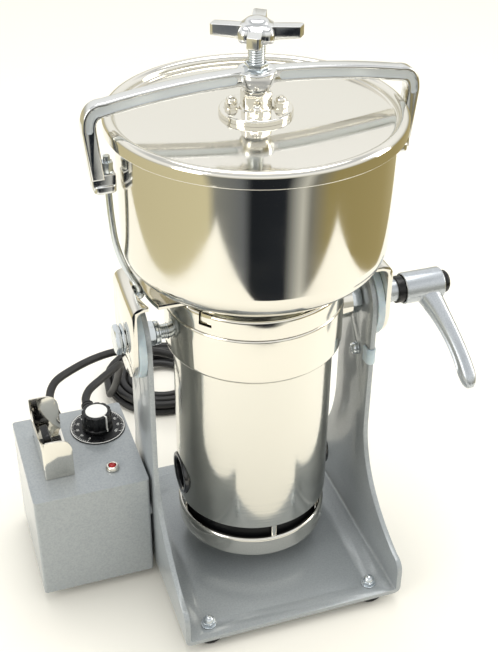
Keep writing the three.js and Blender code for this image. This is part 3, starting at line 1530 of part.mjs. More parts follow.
const lowerBlade = piece("lower_blade", blade(bladeLength, bladeTipRise), plainSteel);
lowerBlade.position.z = bladeLow;
const upperBlade = piece("upper_blade", blade(bladeLength * upperBladeShare, bladeTipRise), plainSteel);
upperBlade.position.z = upperBladeLow;
upperBlade.rotation.z = Math.PI / 2;
piece(
  "blade_nut",
  cut(hexBar(bladeNutFlats, nutLow, nutLow + bladeNutHeight), bar(shaftRadius + gap, nutLow - overrun, shaftTop)),
  plainSteel,
);

// Boot on the back of the motor: neck through the tube, then a ribbed taper
function motorBoot() {
  const seat = motorRadius + gap;
  const ribStep = (bootTipY - seat) / (bootRibs + 1);
  const outline = [[0, motorRadius - 2 * tubeWall], [bootTip, motorRadius - 2 * tubeWall], [bootTip, seat]];
  for (let i = 0; i <= bootRibs; i += 1) {
    const share = i / bootRibs;
    const r = bootRadius + (bootTip - bootRadius) * share;
    outline.push([r, seat + ribStep * i]);
    outline.push([r, seat + ribStep * (i + 1 / 2)]);
    if (i < bootRibs) outline.push([r - bootRibDepth, seat + ribStep * (i + 1 / 2) + gap]);
    if (i < bootRibs) outline.push([r - bootRibDepth, seat + ribStep * (i + 1) - gap]);
  }
  outline.push([bootTip, bootTipY], [0, bootTipY]);
  return alongY(turned(outline, coarse));
}

piece("motor_boot", motorBoot(), blackRubber).position.set(0, 0, bootZ);

// Cords. The routes are points chosen by hand, from the gland or boot outward.

const motorCableRoute = [
  [motorGlandX, glandTipY + gap, glandZ], [motorGlandX, glandTipY + gap + cordDiameter, glandZ],
  [-149.5, 127, 97], [-141, 146, 97],
  [-123, 161, 96], [-99, 174, 95], [-75, 183, 92], [-50, 188, 85], [-25, 187, 76],
  [-4, 178, 68], [10, 160, 64], [14, 138, 68], [9, 119, 80],
  [0, bootTipY + gap + cordDiameter, bootZ], [0, bootTipY + gap, bootZ],
];
piece("motor_cable", cordAlong(pathFrom(motorCableRoute)), blackRubber);

// The bundle winds inward on top, steps down where the spiral turns back, and winds outward below
const coilX = -18;
const coilY = 238;
const coilTurns = 2 * loopsPerLayer + 1 / 2;
const coilLow = cordDiameter / 2;
const coilHigh = coilLow + coilPitch;

function coilPoint(turn) {
  const inward = Math.min(turn, loopsPerLayer);
  const outward = Math.max(turn - loopsPerLayer - 1 / 2, 0);
  const stepDown = Math.min(Math.max(2 * (turn - loopsPerLayer), 0), 1);
  const r = loopOuter - (inward - outward) * coilPitch - loopPull * Math.sin(Math.PI * stepDown);
  const angle = Math.PI - 2 * Math.PI * turn;
  const z = coilHigh - (coilHigh - coilLow) * stepDown * stepDown * (3 - 2 * stepDown);
  return new THREE.Vector3(coilX + r * Math.cos(angle), coilY + r * Math.sin(angle), z);
}

function coil() {
  const steps = Math.round(coilTurns * loopSteps);
  const centres = Array.from({ length: steps + 1 }, (_, i) => coilPoint((coilTurns * i) / steps));
  const upward = new THREE.Vector3(0, 0, 1);
  const straight = cordDiameter;
  const rings = centres.map((centre, i) => {
    const before = centres[Math.max(i - 1, 0)];
    const after = centres[Math.min(i + 1, steps)];
    const heading = after.clone().sub(before).normalize();
    const across = new THREE.Vector3().crossVectors(heading, upward).normalize();
    const lift = new THREE.Vector3().crossVectors(across, heading);
    return { centre, heading, ring: (at) => ringAround(at, across, lift, coilLow, coilLow, loopSides) };
  });
  const first = rings[0];
  const last = rings[steps];
  const firstAt = first.centre.clone().addScaledVector(first.heading, -straight);
  const lastAt = last.centre.clone().addScaledVector(last.heading, straight);
  const geometry = skin([first.ring(firstAt), ...rings.map((r) => r.ring(r.centre)), last.ring(lastAt)]);
  let least = Infinity;
  for (let i = 0; i < centres.length; i += 1) {
    for (let j = i + loopSteps / 2; j < centres.length; j += 1) {
      least = Math.min(least, centres[i].distanceTo(centres[j]) - cordDiameter);
    }
  }
  console.log(`mains_coil least gap to itself ${least.toFixed(2)} mm`);
  return { geometry, firstAt, lastAt, inHeading: first.heading, outHeading: last.heading };
}

const wound = coil();
piece("mains_coil", wound.geometry, blackRubber);

const landing = wound.firstAt.clone().addScaledVector(wound.inHeading, -gap);
const approach = landing.clone().addScaledVector(wound.inHeading, -cordDiameter);
const mainsRoute = [
  [mainsGlandX, glandTipY + gap, glandZ], [mainsGlandX, glandTipY + gap + cordDiameter, glandZ],
  [-114, 124, 97], [-100, 137, 97],
  [-87, 149, 96], [-78, 162, 91], [-73.5, 176, 80], [-72.5, 190, 62], [-73, 204, 40],
  [-74.3, 217, 22], approach.toArray(), landing.toArray(),
];
piece("mains_lead", cordAlong(pathFrom(mainsRoute)), blackRubber);

// From the bundle's lower end the lead runs over the table to the plug
const takeOff = wound.lastAt.clone().addScaledVector(wound.outHeading, gap);
const leaving = takeOff.clone().addScaledVector(wound.outHeading, cordDiameter);
const plugX = 37;
const plugY = 178;
const tailRoute = [
  takeOff.toArray(), leaving.toArray(),
  [38, 219, 7.5], [plugX, 208, 15], [plugX, plugY + plugBootLength - gap + cordDiameter, plugRadius],
  [plugX, plugY + plugBootLength + gap, plugRadius],
];
piece("mains_tail", cordAlong(pathFrom(tailRoute)), blackRubber);

// A round two-pin plug with a moulded boot, lying on its side
function plug() {
  const waist = plugRadius - pinRadius;
  const body = alongY(turned([
    [0, -plugLength], [waist, -plugLength], [plugRadius, -plugLength + pinRadius], [plugRadius, -plugLength / 3],
    [plugRadius / 2, 0], [plugBootTip + pinRadius, pinRadius], [plugBootTip, plugBootLength], [0, plugBootLength],
  ], medium));
  const pins = [-1, 1].map((side) => {
    const pin = alongY(turned([
      [0, -plugLength - pinLength], [pinRadius / 2, -plugLength - pinLength],
      [pinRadius, -plugLength - pinLength + pinRadius], [pinRadius, -plugLength + pinRadius],
      [0, -plugLength + pinRadius],
    ], coarse));
    return moved(pin, (side * pinSpacing) / 2, 0, 0);
  });
  return join(body, ...pins);
}

piece("mains_plug", plug(), blackPlastic).position.set(plugX, plugY, plugRadius);

// The origin is under the middle of the footprint, cords left out
const extent = new THREE.Box3();
mill.children.filter((mesh) => !cordNames.includes(mesh.name)).forEach((mesh) => extent.expandByObject(mesh));
mill.position.set(-(extent.min.x + extent.max.x) / 2, -(extent.min.y + extent.max.y) / 2, 0);
mill.updateMatrixWorld(true);

export default mill;
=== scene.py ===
# %% [markdown]
# # A tilting food mill
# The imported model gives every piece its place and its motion. This lesson gives the mill the look
# of the real one: turned steel, cast handles, a hammered paint and black rubber cables. Most pieces
# are modelled the way a hand would do it in Blender's edit mode, and each takes the place of a plainer
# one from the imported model. Sizes are written in millimetres, and `mm` turns them into metres.

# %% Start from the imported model
import math

import bpy
import bmesh
from mathutils import Matrix, Vector


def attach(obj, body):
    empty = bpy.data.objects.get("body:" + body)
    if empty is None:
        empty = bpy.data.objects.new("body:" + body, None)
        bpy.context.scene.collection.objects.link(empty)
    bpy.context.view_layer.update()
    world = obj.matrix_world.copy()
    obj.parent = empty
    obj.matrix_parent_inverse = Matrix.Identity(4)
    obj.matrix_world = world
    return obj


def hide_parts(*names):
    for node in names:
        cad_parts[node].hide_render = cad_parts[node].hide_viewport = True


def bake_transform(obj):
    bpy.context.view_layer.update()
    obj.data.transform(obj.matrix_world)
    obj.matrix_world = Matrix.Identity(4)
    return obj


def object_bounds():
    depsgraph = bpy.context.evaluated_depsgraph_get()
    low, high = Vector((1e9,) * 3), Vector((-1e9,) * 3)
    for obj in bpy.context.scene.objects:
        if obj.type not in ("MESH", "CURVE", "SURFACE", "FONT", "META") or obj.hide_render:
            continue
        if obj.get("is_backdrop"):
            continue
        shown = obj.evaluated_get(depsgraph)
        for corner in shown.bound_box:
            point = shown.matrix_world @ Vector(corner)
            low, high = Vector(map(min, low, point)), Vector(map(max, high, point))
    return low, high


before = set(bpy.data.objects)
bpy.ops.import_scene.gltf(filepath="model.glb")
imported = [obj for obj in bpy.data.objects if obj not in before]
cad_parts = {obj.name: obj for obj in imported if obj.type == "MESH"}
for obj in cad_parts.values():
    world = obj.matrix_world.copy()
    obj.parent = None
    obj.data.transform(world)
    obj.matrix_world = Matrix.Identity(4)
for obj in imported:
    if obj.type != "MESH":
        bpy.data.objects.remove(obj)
packed_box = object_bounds()
mm = 0.001
axis_x, axis_y = 8.4, 3.8  # where the mill's upright axis stands on the table
pivot_z = 233.4  # the height at which the grinder hangs in the stand
screw_bore = 6.4  # the radius of a hole for a 12 mm screw


def print_box(what, box):
    low, high = ([round(v, 3) for v in corner] for corner in box)
    print(what, "from", low, "to", high)


print_box("packed model", packed_box)

# %% [markdown]
# The camera comes first, because the cords are judged against its view. Its place was found by
# matching the circles and edges of the mill in the photograph, so it is set as three directions
# and a position. The small shift stands for the photograph's slightly uneven crop.

# %% Camera
def add_camera():
    yaw, pitch, roll = 0.331, -0.593, 0.009
    focal_length, photo_height = 1113, 652  # in pixels of the photograph
    sensor = 36
    forward = Vector((math.sin(yaw) * math.cos(pitch), math.cos(yaw) * math.cos(pitch), math.sin(pitch)))
    level = Vector((math.cos(yaw), -math.sin(yaw), 0))
    above = level.cross(forward)
    right = level * math.cos(roll) + above * math.sin(roll)
    up = above * math.cos(roll) - level * math.sin(roll)
    place = Vector((axis_x - 242.3, axis_y - 687.6, 712.5)) * mm
    data = bpy.data.cameras.new("photo_camera")
    data.sensor_fit = "VERTICAL"
    data.sensor_height = sensor
    data.lens = focal_length * sensor / photo_height
    data.shift_x, data.shift_y = 3.2 / photo_height, 1.9 / photo_height
    camera = bpy.data.objects.new("photo_camera", data)
    bpy.context.collection.objects.link(camera)
    columns = [right, up, -forward]
    camera.matrix_world = Matrix.Translation(place) @ Matrix(columns).transposed().to_4x4()
    bpy.context.scene.camera = camera
    print("camera at", [round(v, 3) for v in place])


add_camera()

# %% [markdown]
# Both cables are one round rubber section swept along a route. A route is a list of points in the
# air and on the table, joined by one smooth curve. The curve keeps to its points without loops, even
# where they stand unevenly, and its steps are short, so that the bends are round.

# %% Helper for smooth routes
def smooth_route(points, step=4.0):
    """A centripetal curve through the points, in steps of about so many millimetres."""
    points = [Vector(p) for p in points]
    padded = [2 * points[0] - points[1], *points, 2 * points[-1] - points[-2]]
    route = []
    for a, b, c, d in zip(padded, padded[1:], padded[2:], padded[3:]):
        t1 = max((b - a).length, 1e-6) ** 0.5
        t2 = t1 + max((c - b).length, 1e-6) ** 0.5
        t3 = t2 + max((d - c).length, 1e-6) ** 0.5
        count = max(2, round((c - b).length / step))
        for i in range(count):
            t = t1 + (t2 - t1) * i / count
            ab = a.lerp(b, t / t1)
            bc = b.lerp(c, (t - t1) / (t2 - t1))
            cd = c.lerp(d, (t - t2) / (t3 - t2))
            abc = ab.lerp(bc, t / t2)
            bcd = bc.lerp(cd, (t - t1) / (t3 - t1))
            route.append(abc.lerp(bcd, (t - t1) / (t2 - t1)))
    return route + [points[-1]]


def route_length(route):
    return sum((b - a).length for a, b in zip(route, route[1:]))


# %% [markdown]
# The spare mains lead lies in a flat bundle behind the stand: it winds inward on the upper layer,
# drops to the table in half a turn and winds outward again below. A formula gives each point, so the
# loops lie side by side without touching.

# %% Bundle of the mains lead
cord_width = 7.5
coil_x, coil_y = -18.0, 238.0
coil_pitch = 8.15
coil_inner, coil_rows = 33.0, 3
coil_outer = coil_inner + coil_rows * coil_pitch
turns = 2 * coil_rows + 0.5
steps_per_turn = 36


def coil_point(turn):
    inward = min(turn, coil_rows)
    outward = max(turn - coil_rows - 0.5, 0)
    down = min(max(2 * (turn - coil_rows), 0), 1)
    r = coil_outer - (inward - outward) * coil_pitch - 4.0 * math.sin(math.pi * down)
    angle = math.pi - 2 * math.pi * turn
    z = cord_width / 2 + coil_pitch * (1 - down * down * (3 - 2 * down))
    return Vector((coil_x + r * math.cos(angle), coil_y + r * math.sin(angle), z))


count = round(turns * steps_per_turn)
bundle = [coil_point(turns * i / count) for i in range(count + 1)]
heading_in = (bundle[1] - bundle[0]).normalized() * cord_width
heading_out = (bundle[-1] - bundle[-2]).normalized() * cord_width
entry = bundle[0] - heading_in
way_out = bundle[-1] + heading_out
print(f"bundle {route_length(bundle):.0f} mm in {turns} turns")

# %% [markdown]
# The mains lead comes down from its gland to the bundle and goes on to the plug. The motor's cable
# swings round behind the stand to the boot on the motor. Both leave their gland level for a few
# millimetres, as a stiff cable does.

# %% Routes of the cables
gland_y, gland_z, gland_reach = 82.7, 97.0, 20.0
mains_x, motor_x = -120.0, -151.0
boot_z, boot_y = 88.0, 94.5
plug_x, plug_y, plug_r, plug_tail = 37.0, 178.0, 18.0, 22.0
cord_y = gland_y + gland_reach  # where both cables come out of their glands

lead_down = smooth_route([
    (mains_x, cord_y, gland_z), (mains_x, cord_y + 8, gland_z), (-114, 124, 97), (-100, 137, 97),
    (-87, 149, 96), (-78, 162, 91), (-73.5, 176, 80), (-72.5, 190, 62), (-73, 204, 40),
    (-74.3, 217, 22), entry - heading_in, entry])
lead_tail = smooth_route([
    way_out, way_out + heading_out, (38, 219, 7.5), (plug_x, 208, 15),
    (plug_x, plug_y + plug_tail + cord_width, plug_r), (plug_x, plug_y + plug_tail, plug_r)])
mains_route = lead_down + bundle + lead_tail
motor_route = smooth_route([
    (motor_x, cord_y, gland_z), (motor_x, cord_y + 8, gland_z), (-149.5, 127, 97), (-141, 146, 97),
    (-123, 161, 96), (-99, 174, 95), (-75, 183, 92), (-50, 188, 85), (-25, 187, 76), (-4, 178, 68),
    (10, 160, 64), (14, 138, 68), (9, 119, 80), (0, boot_y + 8, boot_z), (0, boot_y, boot_z)])
print(f"mains lead {route_length(mains_route):.0f} mm, motor cable {route_length(motor_route):.0f} mm")

# %% [markdown]
# Everything is deselected before a step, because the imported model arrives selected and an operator
# works on all that is selected. `settle` writes a piece's place into its mesh, so that the object
# itself stays at the origin. `carve` cuts with other pieces, which are gone afterwards.

# %% Helpers for objects
def clear():
    if bpy.context.object and bpy.context.object.mode != "OBJECT":
        bpy.ops.object.mode_set(mode="OBJECT")
    bpy.ops.object.select_all(action="DESELECT")


def choose(*pieces):
    clear()
    for piece in pieces:
        piece.select_set(True)
    bpy.context.view_layer.objects.active = pieces[0]
    return pieces[0]


def settle(piece, at=(0, 0, 0), turn=(0, 0, 0)):
    """Turns the piece about the origin (degrees), moves it (mm), and keeps both in its mesh."""
    choose(piece)
    piece.rotation_euler = [math.radians(a) for a in turn]
    piece.location = Vector(at) * mm
    bpy.ops.object.transform_apply(location=True, rotation=True, scale=True)
    return piece


def apply_modifier(piece, kind, **settings):
    choose(piece)
    modifier = piece.modifiers.new(kind.lower(), kind)
    for key, value in settings.items():
        setattr(modifier, key, value)
    bpy.ops.object.modifier_apply(modifier=modifier.name)
    return piece


def smooth(piece, angle=35):
    choose(piece)
    bpy.ops.object.shade_smooth_by_angle(angle=math.radians(angle))
    return piece


def soften(piece, width, segments=2, angle=35):
    apply_modifier(
        piece, "BEVEL", width=width * mm, segments=segments, limit_method="ANGLE",
        angle_limit=math.radians(angle), use_clamp_overlap=True,
    )
    return smooth(piece)


def carve(piece, *tools, operation="DIFFERENCE"):
    for tool in tools:
        apply_modifier(piece, "BOOLEAN", operation=operation, object=tool, solver="EXACT")
        bpy.data.objects.remove(tool, do_unlink=True)
    return piece


def joined(*pieces):
    choose(*pieces)
    bpy.ops.object.join()
    return bpy.context.object


def paint(piece, material):
    piece.data.materials.append(material)
    return piece


def copy_of(piece, name):
    twin = piece.copy()
    twin.data = piece.data.copy()
    twin.name = name
    bpy.context.collection.objects.link(twin)
    return twin


# %% [markdown]
# Turned pieces start as one circle. In edit mode its edge is extruded and scaled, ring after ring,
# along the piece's outline. An outline corner may carry a radius, and then becomes a small arc that
# catches the light as a real edge does.

# %% Helper for turned pieces
def rounded_outline(corners, arc=4, closed=False):
    """Corners are (r, z) or (r, z, radius)."""
    made = []
    count = len(corners)
    for i, corner in enumerate(corners):
        here = Vector(corner[:2])
        radius = corner[2] if len(corner) > 2 else 0
        at_end = not closed and i in (0, count - 1)
        if radius == 0 or at_end:
            made.append(tuple(here))
            continue
        before = Vector(corners[i - 1][:2])
        after = Vector(corners[(i + 1) % count][:2])
        back = here + (before - here).normalized() * min(radius, (before - here).length * 0.49)
        on = here + (after - here).normalized() * min(radius, (after - here).length * 0.49)
        for k in range(arc + 1):
            t = k / arc
            made.append(tuple(back * (1 - t) ** 2 + here * 2 * t * (1 - t) + on * t ** 2))
    return made


def turned(name, corners, steps=96, ring=False, arc=4):
    """A piece of revolution about the upright line through the origin."""
    clear()
    tiny, weld = 1e-6, 3e-6  # metres
    outline = [(max(r * mm, tiny), z * mm) for r, z in rounded_outline(corners, arc, ring)]
    if ring:
        outline.append(outline[0])
    r, z = outline[0]
    bpy.ops.mesh.primitive_circle_add(vertices=steps, radius=r, location=(0, 0, z))
    piece = bpy.context.object
    piece.name = name
    bpy.ops.object.transform_apply(location=True)
    bpy.ops.object.mode_set(mode="EDIT")
    bpy.ops.mesh.select_all(action="SELECT")
    for (ra, za), (rb, zb) in zip(outline, outline[1:]):
        bpy.ops.mesh.extrude_edges_move(TRANSFORM_OT_translate={"value": (0, 0, zb - za)})
        bpy.ops.transform.resize(value=(rb / ra, rb / ra, 1), center_override=(0, 0, zb))
    bpy.ops.mesh.select_all(action="SELECT")
    bpy.ops.mesh.remove_doubles(threshold=weld)
    bpy.ops.mesh.normals_make_consistent(inside=False)
    bpy.ops.object.mode_set(mode="OBJECT")
    return smooth(piece)


def round_axis(radius, angle, z=0):
    """The point at a radius and an angle in degrees round the Z axis."""
    return (radius * math.cos(math.radians(angle)), radius * math.sin(math.radians(angle)), z)


def bar(name, radius, low, high, steps=40):
    return turned(name, [(0, low), (radius, low), (radius, high), (0, high)], steps)


def tube(name, inner, outer, low, high, steps, edges=(0.3, 0.3)):
    """A tube or washer; its outer edges are rounded by the two radii, low and high."""
    corners = [(inner, low), (outer, low, edges[0]), (outer, high, edges[1]), (inner, high)]
    return turned(name, corners, steps, ring=True)


def along(name, radius, low, high, at=(0, 0, 0), axis="X", steps=40):
    """A round bar along X or Y, mostly used to cut holes."""
    piece = settle(bar(name, radius, low, high, steps), turn=(0, 90, 0) if axis == "X" else (-90, 0, 0))
    return settle(piece, at=at)


def at_pivot(piece, side=1):
    """An upright piece is laid along X at the pivots, pointing right (1) or left (-1)."""
    return settle(settle(piece, turn=(0, 90 * side, 0)), at=(0, 0, pivot_z))


# %% [markdown]
# Sheet and cast pieces start from a flat outline, drawn as a curve, given a thickness and made a
# mesh. The outline itself is put together from arcs and bends.

# %% Helpers for plates
def plate(name, outline, low, high, edge=0.0, rounds=2):
    """The outline is a closed list of (x, y); the plate stands from low to high along Z."""
    curve = bpy.data.curves.new(name, "CURVE")
    curve.dimensions = "2D"
    curve.fill_mode = "BOTH"
    spline = curve.splines.new("POLY")
    spline.points.add(len(outline) - 1)
    for point, (x, y) in zip(spline.points, outline):
        point.co = (x * mm, y * mm, 0, 1)
    spline.use_cyclic_u = True
    curve.extrude = (high - low) * mm / 2 - edge * mm
    curve.bevel_depth = edge * mm
    curve.bevel_resolution = rounds
    curve.offset = -edge * mm
    clear()
    piece = bpy.data.objects.new(name, curve)
    bpy.context.collection.objects.link(piece)
    choose(piece)
    bpy.ops.object.convert(target="MESH")
    piece = bpy.context.object
    bpy.ops.object.mode_set(mode="EDIT")
    bpy.ops.mesh.select_all(action="SELECT")
    bpy.ops.mesh.remove_doubles(threshold=1e-6)
    bpy.ops.mesh.normals_make_consistent(inside=False)
    bpy.ops.object.mode_set(mode="OBJECT")
    return smooth(settle(piece, at=(0, 0, (low + high) / 2)))


def to_side(piece):
    """A plate drawn in (y, z) is stood up across the X axis."""
    return settle(settle(piece, turn=(90, 0, 0)), turn=(0, 0, 90))


def to_front(piece):
    """A plate drawn in (x, z) is stood up across the Y axis; its low side is the back."""
    return settle(piece, turn=(90, 0, 0))


def arc(cx, cy, radius, start, end, steps=16):
    angles = [math.radians(start + (end - start) * i / steps) for i in range(steps + 1)]
    return [(cx + radius * math.cos(a), cy + radius * math.sin(a)) for a in angles]


def bezier(a, b, c, d, steps=16):
    points = []
    for i in range(steps + 1):
        t = i / steps
        f = ((1 - t) ** 3, 3 * t * (1 - t) ** 2, 3 * t * t * (1 - t), t ** 3)
        points.append(tuple(sum(w * p[k] for w, p in zip(f, (a, b, c, d))) for k in (0, 1)))
    return points


def corner_curve(a, corner, b, steps=8):
    """A soft bend from a to b that leaves both toward the corner."""
    return [tuple((1 - t) ** 2 * p + 2 * t * (1 - t) * q + t * t * r for p, q, r in zip(a, corner, b))
            for t in (i / steps for i in range(steps + 1))]


def rounded_rectangle(x0, x1, y0, y1, r, steps=6):
    return [
        *arc(x1 - r, y0 + r, r, -90, 0, steps), *arc(x1 - r, y1 - r, r, 0, 90, steps),
        *arc(x0 + r, y1 - r, r, 90, 180, steps), *arc(x0 + r, y0 + r, r, 180, 270, steps)]


# %% [markdown]
# Blocks start from a cube and get bevelled edges. Nuts and bolt heads are six-sided bars whose
# corners are taken off by a wide cone, as the lathe does it. A dome nut gets a round cap on top.

# %% Helpers for blocks and nuts
def block(name, x, y, z, edge=0.0, segments=2):
    """A block given by its (low, high) along X, Y and Z, with bevelled edges."""
    clear()
    middle = [(low + high) / 2 * mm for low, high in (x, y, z)]
    size = [(high - low) * mm for low, high in (x, y, z)]
    bpy.ops.mesh.primitive_cube_add(size=1, location=middle, scale=size)
    piece = bpy.context.object
    piece.name = name
    bpy.ops.object.transform_apply(location=True, scale=True)
    if edge:
        bpy.ops.object.mode_set(mode="EDIT")
        bpy.ops.mesh.select_all(action="SELECT")
        bpy.ops.mesh.bevel(offset=edge * mm, segments=segments, affect="EDGES")
        bpy.ops.object.mode_set(mode="OBJECT")
    return smooth(piece)


def nut(name, flats, low, high, bore=0.0, dome=False):
    """An upright hexagon with its corners turned off."""
    r = flats / math.sqrt(3)
    face, fall = flats / 2 * 0.98, (r - flats / 2) * 0.6
    clear()
    bpy.ops.mesh.primitive_cylinder_add(
        vertices=6, radius=r * mm, depth=(high - low) * mm, location=(0, 0, (low + high) / 2 * mm))
    piece = bpy.context.object
    piece.name = name
    bpy.ops.object.transform_apply(location=True)
    cone = turned(f"{name}_chamfer", [
        (0, low - 0.01), (face, low - 0.01), (r * 1.02, low + fall),
        (r * 1.02, high - fall), (face, high + 0.01), (0, high + 0.01)], steps=48)
    carve(piece, cone, operation="INTERSECT")
    if bore:
        carve(piece, bar(f"{name}_bore", bore, low - 1, high + 1, 32))
    soften(piece, 0.15, 2, 25)
    if dome:
        ball = flats * 0.45
        round_top = [(ball * math.cos(a), high + ball * math.sin(a)) for a in (0, 0.3, 0.6, 0.9, 1.2)]
        cap = turned(f"{name}_dome", [(0, low + 1), (ball, low + 1), *round_top, (0, high + ball)], 32)
        piece = joined(piece, cap)
    return piece


# %% [markdown]
# A cable and a thread follow a path that no single extrusion can take. Their points are set down by a
# formula, ring after ring or tooth after tooth, and then skinned in that order. A real thread is cut
# the same way: one tooth outline, led once round for every pitch.

# %% Helpers for cables and threads
def skin(builder, rings):
    """Faces from each ring of points to the next, and one over either end."""
    count = len(rings[0])
    for first, second in zip(rings, rings[1:]):
        for k in range(count):
            builder.faces.new((first[k], first[(k + 1) % count], second[(k + 1) % count], second[k]))
    builder.faces.new(rings[0][::-1])
    builder.faces.new(rings[-1])


def built(name, builder):
    """The points and faces set down in a builder become an object."""
    mesh = bpy.data.meshes.new(name)
    builder.to_mesh(mesh)
    builder.free()
    piece = bpy.data.objects.new(name, mesh)
    bpy.context.collection.objects.link(piece)
    return piece


def swept(name, route, radius, sides=16):
    """A round bar along a route: one ring of points for each step, skinned in order."""
    builder = bmesh.new()
    side = Vector((0, 0, 1))
    rings = []
    for i, here in enumerate(route):
        before, after = route[max(i - 1, 0)], route[min(i + 1, len(route) - 1)]
        heading = (after - before).normalized()
        side = (side - heading * side.dot(heading)).normalized()
        other = heading.cross(side)
        rings.append([builder.verts.new((here + (side * math.cos(a) + other * math.sin(a)) * radius) * mm)
                      for a in (2 * math.pi * k / sides for k in range(sides))])
    skin(builder, rings)
    return smooth(built(name, builder), 50)


def thread(name, low, high, radius=6.0, pitch=1.75):
    """A 12 mm screw thread: one tooth outline wound up a helix round a core."""
    depth, steps = 0.45, 24
    builder = bmesh.new()
    count = int((high - low) / pitch * steps)
    profile = [(radius - depth, -0.45), (radius, -0.08), (radius, 0.08), (radius - depth, 0.45)]
    rows = []
    for i in range(count + 1):
        angle = 2 * math.pi * i / steps
        z = low + (high - low) * i / count
        fade = min(1, i / steps, (count - i) / steps)
        row = []
        for r, dz in profile:
            r = radius - depth + (r - radius + depth) * fade
            place = (r * math.cos(angle) * mm, r * math.sin(angle) * mm, (z + dz * pitch) * mm)
            row.append(builder.verts.new(place))
        rows.append(row)
    for first, second in zip(rows, rows[1:]):
        for k in range(3):
            builder.faces.new((first[k], second[k], second[k + 1], first[k + 1]))
    core_r = radius - depth
    core = turned(f"{name}_core", [(0, low), (core_r, low, 0.3), (core_r, high, 0.3), (0, high)], steps=32)
    return smooth(joined(core, built(name, builder)), 40)


# %% [markdown]
# A finish is a Principled shader with its own noise. `finish` makes the shader, and the small helpers
# add colour variation, bumps and uneven gloss that read the piece's own coordinates in metres. The
# noise behind each is given last, as its scale, its detail and its stretch along the three axes.

# %% Helpers for finishes
def linear(code):
    parts = [int(code[i:i + 2], 16) / 255 for i in (1, 3, 5)]
    return tuple(p / 12.92 if p <= 0.04045 else ((p + 0.055) / 1.055) ** 2.4 for p in parts) + (1.0,)


def finish(name, colour, roughness, metallic=0.0, **sockets):
    material = bpy.data.materials.new(name)
    material.use_nodes = True
    shader = material.node_tree.nodes["Principled BSDF"]
    shader.inputs["Base Color"].default_value = linear(colour)
    shader.inputs["Roughness"].default_value = roughness
    shader.inputs["Metallic"].default_value = metallic
    for key, value in sockets.items():
        shader.inputs[key.replace("_", " ").title().replace("Ior", "IOR")].default_value = value
    return material


def add(material, kind, values=None, **settings):
    made = material.node_tree.nodes.new(kind)
    for key, value in settings.items():
        setattr(made, key, value)
    for key, value in (values or {}).items():
        made.inputs[key].default_value = value
    return made


def wire(material, output, target):
    material.node_tree.links.new(output, target)


def own_coordinates(material, stretch=(1, 1, 1)):
    place = add(material, "ShaderNodeTexCoord")
    mapping = add(material, "ShaderNodeMapping", {"Scale": stretch})
    wire(material, place.outputs["Object"], mapping.inputs["Vector"])
    return mapping.outputs["Vector"]


def noise(material, scale, detail=3.0, stretch=(1, 1, 1)):
    made = add(material, "ShaderNodeTexNoise", {"Scale": scale, "Detail": detail, "Roughness": 0.5})
    wire(material, own_coordinates(material, stretch), made.inputs["Vector"])
    return made.outputs["Fac"]


def spread(material, value, low, high, start=0.35, end=0.65):
    """A value from 0 to 1 becomes a range of numbers."""
    made = add(material, "ShaderNodeMapRange", {
        "From Min": start, "From Max": end, "To Min": low, "To Max": high})
    wire(material, value, made.inputs["Value"])
    return made.outputs["Result"]


def shader_of(material):
    return material.node_tree.nodes["Principled BSDF"]


def bumpy(material, strength, distance, *grain, height=None):
    """Bumps of so many millimetres, from noise unless another height is given."""
    if height is None:
        height = noise(material, *grain)
    made = add(material, "ShaderNodeBump", {"Strength": strength, "Distance": distance * mm})
    shader = shader_of(material)
    if shader.inputs["Normal"].links:
        wire(material, shader.inputs["Normal"].links[0].from_socket, made.inputs["Normal"])
    wire(material, height, made.inputs["Height"])
    wire(material, made.outputs["Normal"], shader.inputs["Normal"])


def uneven_gloss(material, low, high, *grain):
    wire(material, spread(material, noise(material, *grain), low, high), shader_of(material).inputs["Roughness"])


def uneven_colour(material, first, second, *grain):
    value = noise(material, *grain)
    made = add(material, "ShaderNodeValToRGB")
    for element, code, position in zip(made.color_ramp.elements, (first, second), (0.35, 0.65)):
        element.color = linear(code)
        element.position = position
    wire(material, value, made.inputs["Fac"])
    wire(material, made.outputs["Color"], shader_of(material).inputs["Base Color"])


# %% [markdown]
# The stand and the box have a stoved hammer paint: a smooth grey enamel with flat, shiny dimples about
# two millimetres wide. Rounded cells give the dimples, and fine noise mixes two close greys.

# %% Hammer paint
hammer_paint = finish("hammer_paint", "#9ba0a2", 0.3, 0.2, coat_weight=0.6, coat_roughness=0.06)
cells = add(hammer_paint, "ShaderNodeTexVoronoi", {"Scale": 520.0, "Randomness": 1.0}, feature="SMOOTH_F1")
wire(hammer_paint, own_coordinates(hammer_paint), cells.inputs["Vector"])
bumpy(hammer_paint, 0.05, 0.4, height=cells.outputs["Distance"])
uneven_colour(hammer_paint, "#969c9f", "#a2a7a9", 700.0, 3.0)
uneven_gloss(hammer_paint, 0.28, 0.33, 60.0)
print("hammer paint made of", len(hammer_paint.node_tree.nodes), "shader nodes")

# %% [markdown]
# The steels differ only in how they were worked. Buffed steel is nearly a mirror with faint smears.
# Turned steel keeps fine rings round its axis, which are noise stretched flat. Plated steel has a
# cooler colour and small pits. The cast handles are chromed over a surface that is never quite flat.

# %% Steels and castings
buffed_steel = finish("buffed_steel", "#e6e3da", 0.07, 1.0)
uneven_gloss(buffed_steel, 0.045, 0.12, 22.0, 4.0)
bumpy(buffed_steel, 0.03, 1.0, 14.0, 1.0)

turned_steel = finish("turned_steel", "#e2e0d8", 0.14, 1.0)
uneven_gloss(turned_steel, 0.08, 0.17, 1.0, 2.0, (12, 12, 900))
bumpy(turned_steel, 0.06, 0.04, 1.0, 2.0, (10, 10, 1600))
bumpy(turned_steel, 0.05, 1.0, 26.0, 1.0)

